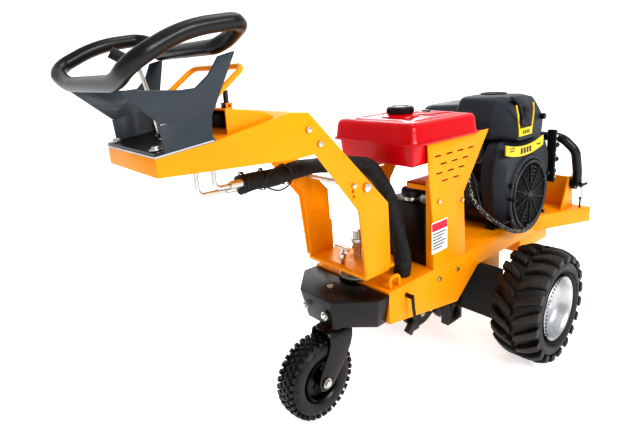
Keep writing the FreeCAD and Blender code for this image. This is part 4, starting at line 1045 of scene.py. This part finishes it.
def tank_outline(low, high, amount, count=72):
    """The tank's rounded plan, drawn in by an amount."""
    corners = [(low.x, low.y), (high.x, low.y), (high.x, high.y), (low.x, high.y)]
    return inset(rounded_outline([Vector(c) for c in corners], 0.034, count), amount)


def fuel_tank():
    """Pressed tank: two halves seamed at a flange, with sunk panels and raised ribs on the top."""
    node = "fuel_tank"
    low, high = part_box(node)
    seam = low.z + 0.071  # height of the flange between the two halves
    levels = ((low.z, 0.040), (low.z + 0.003, 0.031), (low.z + 0.012, 0.0265), (seam - 0.008, 0.0215),
              (seam - 0.002, 0.020), (seam - 0.0015, 0.001), (seam + 0.0, 0.0), (seam + 0.004, 0.0),
              (seam + 0.0052, 0.001), (seam + 0.006, 0.006), (seam + 0.012, 0.0085), (seam + 0.044, 0.0125),
              (seam + 0.056, 0.0165), (seam + 0.0625, 0.024), (seam + 0.065, 0.036))
    rings = [[(spot.x, spot.y, level) for spot in tank_outline(low, high, amount)] for level, amount in levels]
    shell = loft(rings, 32)
    crown = levels[-1][0]
    inner_low = Vector((low.x + 0.044, low.y + 0.044))
    inner_high = Vector((high.x - 0.044, high.y - 0.044))

    def rib(ends, width=0.018, height=0.0042):
        (x0, y0), (x1, y1) = ends
        run = Vector((x1 - x0, y1 - y0))
        way = run.normalized()
        across = Vector((-way.y, way.x))
        rows = []
        for share, lift in ((0.0, -0.004), (0.04, 0.35), (0.10, 1.0), (0.90, 1.0), (0.96, 0.35), (1.0, -0.004)):
            spot = Vector((x0, y0)) + run * share
            ring = []
            for side, level in ((-1.0, -0.003), (-0.72, 0.0), (-0.45, 0.75), (0.0, 1.0), (0.45, 0.75), (0.72, 0.0),
                                (1.0, -0.003)):
                rise = level * height * max(lift, 0.0) if level > 0 else level
                edge = spot + across * side * width
                ring.append((edge.x, edge.y, crown + rise))
            rows.append(ring)
        return loft(rows, 60)

    middle_x = (low.x + high.x) / 2
    runs = [((inner_low.x, y), (inner_high.x, y)) for y in (inner_low.y + 0.010, inner_high.y - 0.010)]
    runs += [((x, inner_low.y + 0.02), (x, inner_high.y - 0.02)) for x in (inner_low.x + 0.012, inner_high.x - 0.012)]
    ribs = [rib(run) for run in runs]
    for reach in (0.045, 0.085, 0.125):
        ribs.append(rib(((middle_x + reach, inner_low.y + 0.03), (middle_x + reach, inner_high.y - 0.03)), 0.012))
    cap_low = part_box("fuel_cap")[0].z
    neck_x, neck_y = middle("fuel_cap").xy
    neck = lathe([(0.030, crown - 0.002), (0.062, crown - 0.002), (0.060, crown + 0.004), (0.050, crown + 0.008),
                  (0.042, crown + 0.010), (0.038, crown + 0.016), (0.038, cap_low + 0.002),
                  (0.030, cap_low + 0.002)], (neck_x, neck_y, 0), "Z", 56, 35)
    gauge = lathe([(0.0, crown - 0.002), (0.016, crown - 0.002), (0.016, crown + 0.006), (0.012, crown + 0.009),
                   (0.0, crown + 0.009)], (high.x - 0.075, 0.0, 0), "Z", 32, 30)
    stand_in("fuel_tank_pressed", joined([shell, neck] + ribs, node, 36), node)
    extra("tank_vent", gauge, node, MATERIALS["black_plastic"])


def fuel_cap():
    """Screw cap with a knurled skirt, a stepped crown and a central web."""
    node = "fuel_cap"
    low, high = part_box(node)
    centre = Vector(((low.x + high.x) / 2, (low.y + high.y) / 2, 0.0))
    reach = (high.x - low.x) / 2
    skirt = lathe([(0.028, low.z), (reach - 0.003, low.z), (reach - 0.0015, low.z + 0.002),
                   (reach - 0.0015, high.z - 0.006), (reach - 0.006, high.z - 0.001), (reach - 0.012, high.z),
                   (reach - 0.016, high.z - 0.003), (0.018, high.z - 0.004), (0.014, high.z - 0.001),
                   (0.0, high.z - 0.001), (0.0, high.z - 0.010), (0.028, high.z - 0.010)], centre, "Z", 64, 32)
    flute = slab((reach - 0.0035, -0.0016, low.z + 0.002), (reach, 0.0016, high.z - 0.007), 0.0005, 1)
    web = slab((0.012, -0.003, high.z - 0.0045), (reach - 0.014, 0.003, high.z - 0.0012), 0.0008, 1)
    stand_in("fuel_cap_knurled", joined([skirt, around(flute, 36, centre, axis=2),
                                         around(web, 6, centre, axis=2)], node, 32), node)


def tank_label():
    """White label with a red header on the front post, in generic blocks with no lettering."""
    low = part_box("tank_posts")[0]
    x0, x1 = low.x + 0.018, low.x + 0.104
    z0, z1 = 0.455, 0.560
    face = low.y - 0.0005
    extra("post_label", slab((x0, face - 0.0004, z0), (x1, face + 0.0006, z1), 0), "tank_posts", WHITE_LABEL)
    extra("post_label_header", slab((x0 + 0.002, face - 0.0008, z1 - 0.030), (x1 - 0.002, face, z1 - 0.004), 0),
          "tank_posts", RED_INK)
    lines = []
    for row in range(6):
        level = z1 - 0.038 - row * 0.010
        line_end = x1 - 0.010 - 0.010 * (row % 3)
        lines.append(slab((x0 + 0.006, face - 0.0007, level - 0.0035), (line_end, face, level), 0))
    extra("post_label_lines", joined(lines, "lines"), "tank_posts", BLACK_INK)


def oil_tank():
    """Boxy hydraulic reservoir under the fuel tank, with its return filter and the shelf above it."""
    soften("oil_tank", 0.007)
    low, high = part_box("oil_tank")
    spot = (-0.338, -0.046, 0)
    top = high.z
    head = lathe([(0.0, top - 0.024), (0.033, top - 0.024), (0.0345, top - 0.021), (0.0345, top - 0.006),
                  (0.030, top + 0.001), (0.012, top + 0.003), (0.0, top + 0.003)], spot, "Z", 48, 30)
    extra("reservoir_filter_head", head, "oil_tank", MATERIALS["cast_aluminium"])
    ring = collar(0.0240, 0.0275, top - 0.040, top - 0.028, spot, "Z", 48, 30)
    extra("reservoir_filter_ring", ring, "oil_tank", MATERIALS["zinc"])
    band = slab((low.x - 0.001, low.y - 0.001, low.z + 0.150), (high.x + 0.001, high.y + 0.001, low.z + 0.156),
                0.0008)
    extra("reservoir_seam", band, "oil_tank")
    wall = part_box("tank_posts")[0].y + 0.005
    shelf = slab((low.x + 0.004, wall, top + 0.024), (high.x + 0.030, wall + 0.110, top + 0.028), 0.001)
    lip = slab((low.x + 0.004, wall, top + 0.008), (low.x + 0.008, wall + 0.110, top + 0.028), 0.001)
    extra("reservoir_shelf", joined([shelf, lip], "shelf"), "tank_posts")


# ---------------------------------------------------------------- console and handles


def arm_details():
    """Arm shell and levers with eased folds, the feed lever's rod and grip, and the plunger's spring."""
    for node, width in (("arm_shell", 0.0018), ("handle_brackets", 0.0012), ("valve_cover", 0.002),
                        ("valve_block", 0.002), ("steering_yoke", 0.0014), ("arm_pivot_bolt", 0.0008),
                        ("lock_plunger", 0.0010), ("column_hub", 0.0008),
                        ("lift_lever", 0.0006), ("safety_bail", 0.0), ("steel_pipes", 0.0),
                        ("guard_hoop", 0.0), ("handle_tube", 0.0)):
        soften(node, width)
    rod_path = [(-1.150, 0.020, 0.929), (-1.1565, 0.020, 0.975), (-1.163, 0.020, 1.026), (-1.176, 0.020, 1.076)]
    grip_path = [(-1.1765, 0.020, 1.076), (-1.190, 0.024, 1.088), (-1.204, 0.028, 1.098), (-1.226, 0.034, 1.112)]
    pivot = (-1.150, 0.020, 0.9276)
    barrel = peg(0.007, -0.007, 0.007, pivot, "Y", 28, 30)
    pin = peg(0.003, -0.015, 0.015, pivot, "Y", 20, 30)
    stand_in("feed_lever_rod", joined([spline_tube("rod", rod_path, 0.0048, 16), barrel, pin], "rod"), "feed_lever",
             MATERIALS["zinc"])
    extra("feed_lever_grip", spline_tube("grip", grip_path, 0.0125, 20), "feed_lever", MATERIALS["black_rubber"])
    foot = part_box("lock_plunger")[0].z
    axis_x = middle("lock_plunger").x
    start, end, radius, turns, corners = foot + 0.020, foot + 0.044, 0.0085, 6, 8
    points = []
    for step in range(turns * corners + 1):
        angle = TAU * step / corners
        points.append((axis_x + radius * math.cos(angle), radius * math.sin(angle),
                       start + (end - start) * step / (turns * corners)))
    console_dressing()
    extra("plunger_spring", spline_tube("spring", points, 0.0012, 8), "lock_plunger", MATERIALS["zinc"])


def console_dressing():
    """Black foot plate with a pale cut edge under the handle brackets, its bolts, and the pins on the valve cover."""
    low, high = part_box("arm_shell")
    back, half = low.x, high.y
    level, slope = 0.904, 0.1252

    def deck_plate(front, inset_by, foot, top):
        rings = []
        for x in (back + inset_by, front):
            rise = level + (x - back) * slope
            rings.append([(x, -half + inset_by, rise + foot), (x, half - inset_by, rise + foot),
                          (x, half - inset_by, rise + top), (x, -half + inset_by, rise + top)])
        return loft(rings, 30)

    extra("bracket_foot_plate", deck_plate(back + 0.128, 0.0005, 0.0055, 0.0105), "handle_brackets",
          MATERIALS["black_paint"])
    extra("bracket_foot_edge", deck_plate(back + 0.128, -0.0008, 0.0008, 0.0042), "handle_brackets",
          MATERIALS["galvanised"])
    heads = []
    tilt = Matrix.Rotation(-math.pi / 2, 4, "X")
    for x, y in ((0.013, -0.108), (0.013, 0.108), (0.122, -0.116), (0.122, 0.116), (0.072, -0.020)):
        head = bolt_head(0.0085, 0.007)
        head.transform(tilt)
        heads.append(moved(head, (back + x, y, level + x * slope + 0.0125)))
    extra("bracket_bolts", joined(heads, "bolts", 30), "handle_brackets", MATERIALS["zinc"])
    pins = []
    for x, y in ((-1.040, -0.040), (-1.040, 0.010), (-1.010, 0.060)):
        pins.append(lathe([(0.0, -0.004), (0.005, -0.004), (0.005, 0.009), (0.0035, 0.012), (0.0, 0.012)],
                          (x, y, 0.984 - (x + 1.056) * 0.178), "Z", 16, 30))
    extra("cover_pins", joined(pins, "pins"), "valve_cover", MATERIALS["zinc"])


def smooth_path(points, steps):
    """Evenly shared points on a smooth curve that passes through the given ones."""
    spots = [Vector(point) for point in points]
    spots = [spots[0] * 2 - spots[1]] + spots + [spots[-1] * 2 - spots[-2]]
    path = []
    for index in range(1, len(spots) - 2):
        a, b, c, e = spots[index - 1:index + 3]
        for step in range(steps):
            t = step / steps
            path.append(((b * 2) + (c - a) * t + (a * 2 - b * 5 + c * 4 - e) * t * t
                         + (b * 3 - a - c * 3 + e) * t ** 3) / 2)
    return path + [spots[-2]]


def braided_sleeve(points, wide, thin, seed):
    """A textile sleeve over a bundle of hoses: lumpy and slightly flat."""
    chance = random.Random(seed)
    sides, steps_each = 28, 14
    path = smooth_path(points, steps_each)
    waves = [(chance.uniform(18, 60), chance.uniform(0, TAU), chance.uniform(0.020, 0.050)) for _ in range(7)]
    rings = []
    across = Vector((0, 1, 0))
    travelled = 0.0
    for index, spot in enumerate(path):
        way = (path[min(index + 1, len(path) - 1)] - path[max(index - 1, 0)]).normalized()
        across = (across - way * across.dot(way)).normalized()
        up = way.cross(across)
        travelled += (spot - path[index - 1]).length if index else 0.0
        ring = []
        for step in range(sides):
            angle = TAU * step / sides
            lump = sum(size * math.sin(travelled * rate + late + (order % 4) * angle)
                       for order, (rate, late, size) in enumerate(waves))
            strand = 0.035 * abs(math.sin(1.5 * angle + travelled * 9.0))
            swell = 1.0 + lump - strand
            ring.append(spot + across * wide * swell * math.cos(angle) + up * thin * swell * math.sin(angle))
        rings.append(ring)
    return loft(rings, 60)


def cable_tie(spot, way, radius):
    """A cable tie round a sleeve, with its little lock and cut tail."""
    band = collar(radius, radius + 0.0018, -0.0021, 0.0021, (0, 0, 0), "X", 40)
    lock = slab((-0.003, -0.003, radius), (0.003, 0.003, radius + 0.006), 0.0006, 1)
    tail = slab((-0.0018, 0.002, radius + 0.001), (0.0018, 0.016, radius + 0.003), 0)
    turn = Vector((1, 0, 0)).rotation_difference(Vector(way)).to_matrix()
    return moved(joined([band, lock, tail], "tie"), spot, turn)


def hose_wraps():
    """Hose bundle in braided sleeve: along the arm, then down to the deck behind the column."""
    route = [(-0.9718, 0.000, 0.782), (-0.930, 0.000, 0.783), (-0.870, -0.008, 0.780), (-0.800, -0.004, 0.786),
             (-0.730, 0.004, 0.787), (-0.660, 0.002, 0.780)]
    stand_in("hose_sleeve_braided", braided_sleeve(route, 0.0265, 0.0240, 3), "hose_sleeve", SLEEVE)
    ties = [cable_tie(Vector((-0.960, 0.0, 0.782)), (1, 0, 0), 0.0248),
            cable_tie(Vector((-0.905, -0.003, 0.781)), (1, -0.1, -0.04), 0.0256),
            cable_tie(Vector((-0.835, -0.006, 0.782)), (1, 0.03, 0.05), 0.0252)]
    extra("sleeve_ties", joined(ties, "ties"), "hose_sleeve", MATERIALS["black_plastic"])
    drop = [(-0.664, 0.002, 0.780), (-0.590, -0.004, 0.768), (-0.524, -0.024, 0.748), (-0.490, -0.050, 0.690),
            (-0.470, -0.070, 0.600), (-0.468, -0.104, 0.480), (-0.468, -0.106, 0.401)]
    piece = placed("hose_drop_braided", braided_sleeve(drop, 0.0325, 0.0265, 8))
    piece.data.materials.append(SLEEVE)
    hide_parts("hose_drop")
    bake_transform(piece)
    loop = [(-0.910, -0.032, 0.792), (-0.890, -0.052, 0.826), (-0.845, -0.062, 0.812), (-0.852, -0.062, 0.766),
            (-0.900, -0.050, 0.752), (-0.925, -0.034, 0.780)]
    extra("arm_cable_loop", spline_tube("cable loop", loop, 0.0022, 12), "hose_sleeve", MATERIALS["black_rubber"])


# ---------------------------------------------------------------- cutter and guard


def cutter():
    """Cutter wheel with bolted pockets, and carbide-tipped teeth."""
    soften("cutter_wheel", 0.0012)
    soften("cutter_teeth", 0.0008)
    low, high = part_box("cutter_wheel")
    centre = (low + high) / 2
    bolt = moved(bolt_head(0.008, 0.006), (0.052, low.y - centre.y, 0))
    extra("cutter_wheel_bolts", around(bolt, 6, centre, material=MATERIALS["zinc"]), "cutter_wheel",
          MATERIALS["zinc"])
    soften("drive_belt", 0.0)


def guard_details():
    """T-handled clamps at the hoop's pivots, each with its pin on a short tether."""
    low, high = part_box("guard_hoop")
    clamps = []
    for side in (-1, 1):
        out = low.y if side < 0 else high.y
        stud = peg(0.007, 0.0, side * 0.026, (0, 0, 0), "Y", 24, 32)
        washer = peg(0.015, 0.0, side * 0.004, (0, 0, 0), "Y", 28, 32)
        handle = lathe([(0.0, -0.036), (0.005, -0.035), (0.0062, -0.030), (0.0048, 0.0), (0.0062, 0.030),
                        (0.005, 0.035), (0.0, 0.036)], (0, side * 0.026, 0), "X", 20, 40)
        tether = spline_tube("tether", [(0.004, side * 0.010, 0.0), (0.012, side * 0.016, -0.020),
                                        (0.010, side * 0.018, -0.046), (0.002, side * 0.016, -0.062)], 0.0015, 8)
        pin = lathe([(0.0, -0.106), (0.0035, -0.103), (0.0035, -0.066), (0.006, -0.064), (0.006, -0.058),
                     (0.0, -0.057)], (0.002, side * 0.016, 0), "Z", 16, 32)
        clamps.append(moved(joined([stud, washer, handle, tether, pin], "clamp"), (0.560, out - side * 0.018, 0.506)))
    extra("guard_clamps", joined(clamps, "clamps", 34), "guard_hoop", MATERIALS["dark_steel"])


# ---------------------------------------------------------------- stage


def floor_and_light():
    """A pale floor that sweeps up behind the machine, an even sky and three soft lamps."""
    along, across = Vector((0.6555, 0.7552, 0.0)), Vector((0.7552, -0.6555, 0.0))
    near, bend_start, bend, top, half = -9.0, 5.0, 3.0, 12.0, 16.0
    turns = [math.radians(step * 7.5) for step in range(1, 13)]
    profile = [(near, 0.0), (bend_start, 0.0)]
    profile += [(bend_start + bend * math.sin(turn), bend - bend * math.cos(turn)) for turn in turns]
    profile.append((bend_start + bend, top))
    rings = [[along * reach + across * side + Vector((0.0, 0.0, level)) for side in (-half, half)]
             for reach, level in profile]
    work = bmesh.new()
    rows = [[work.verts.new(spot) for spot in ring] for ring in rings]
    for first, second in zip(rows, rows[1:]):
        work.faces.new((first[0], first[1], second[1], second[0])).smooth = True
    floor = bpy.data.meshes.new("floor")
    work.to_mesh(floor)
    work.free()
    ground = placed("floor", floor)
    pale = bpy.data.materials.new("pale floor")
    pale.use_nodes = True
    shader = pale.node_tree.nodes["Principled BSDF"]
    for socket, value in (("Base Color", rgb(0.88, 0.88, 0.88)), ("Roughness", 0.9),
                          ("Emission Color", rgb(1.0, 1.0, 1.0)), ("Emission Strength", 0.42)):
        shader.inputs[socket].default_value = value
    floor.materials.append(pale)
    world = bpy.data.worlds.new("studio")
    bpy.context.scene.world = world
    world.use_nodes = True
    world.node_tree.nodes["Background"].inputs["Color"].default_value = (0.96, 0.98, 1.0, 1.0)
    world.node_tree.nodes["Background"].inputs["Strength"].default_value = 0.50

    def lamp(name, place, aim, power, size):
        data = bpy.data.lights.new(name, "AREA")
        data.energy = power
        data.size = size
        light = placed(name, data)
        light.location = place
        light.rotation_euler = (Vector(aim) - Vector(place)).to_track_quat("-Z", "Y").to_euler()

    lamp("key light", (-0.4, -3.6, 2.6), (-0.2, 0.0, 0.5), 62, 1.4)
    lamp("overhead light", (0.1, -0.2, 3.6), (-0.2, 0.0, 0.5), 22, 1.6)
    lamp("rim light", (2.2, 2.4, 2.4), (-0.2, 0.0, 0.6), 30, 1.2)


def camera():
    """Three-quarter view from the operator's end, on the right-hand side."""
    data = bpy.data.cameras.new("camera")
    data.lens = 26.81
    data.sensor_width = 36.0
    data.shift_x = -0.0013
    data.shift_y = -0.0599
    view = placed("camera", data)
    view.location = (-1.57842, -1.01458, 1.06024)
    forward = Vector((0.63918, 0.73617, -0.22247))
    right = Vector((0.74604, -0.66378, -0.05307))
    up = Vector((0.18674, 0.13206, 0.97349))
    view.rotation_euler = Matrix((right, up, -forward)).transposed().to_euler()
    bpy.context.scene.camera = view
    bpy.context.scene.view_settings.view_transform = "Standard"
    bpy.context.scene.view_settings.look = "High Contrast"


# ---------------------------------------------------------------- the whole machine

for name, side in (("right", -1), ("left", 1)):
    drive_tyre(name)
    drive_rim(name, side)
caster_tyre()
caster_rim()
caster_fork()
bumper_details()
chassis_details()
fan_shroud()
fan_guard()
air_cleaner_cover()
arc_label()
control_panel()
engine_block()
loom()
fuel_tank()
fuel_cap()
tank_label()
oil_tank()
arm_details()
hose_wraps()
cutter()
guard_details()
for node, item in frame["nodes"].items():
    item.data.materials.clear()
    item.data.materials.append(MATERIALS[SLOT_OF[node]])
floor_and_light()
camera()
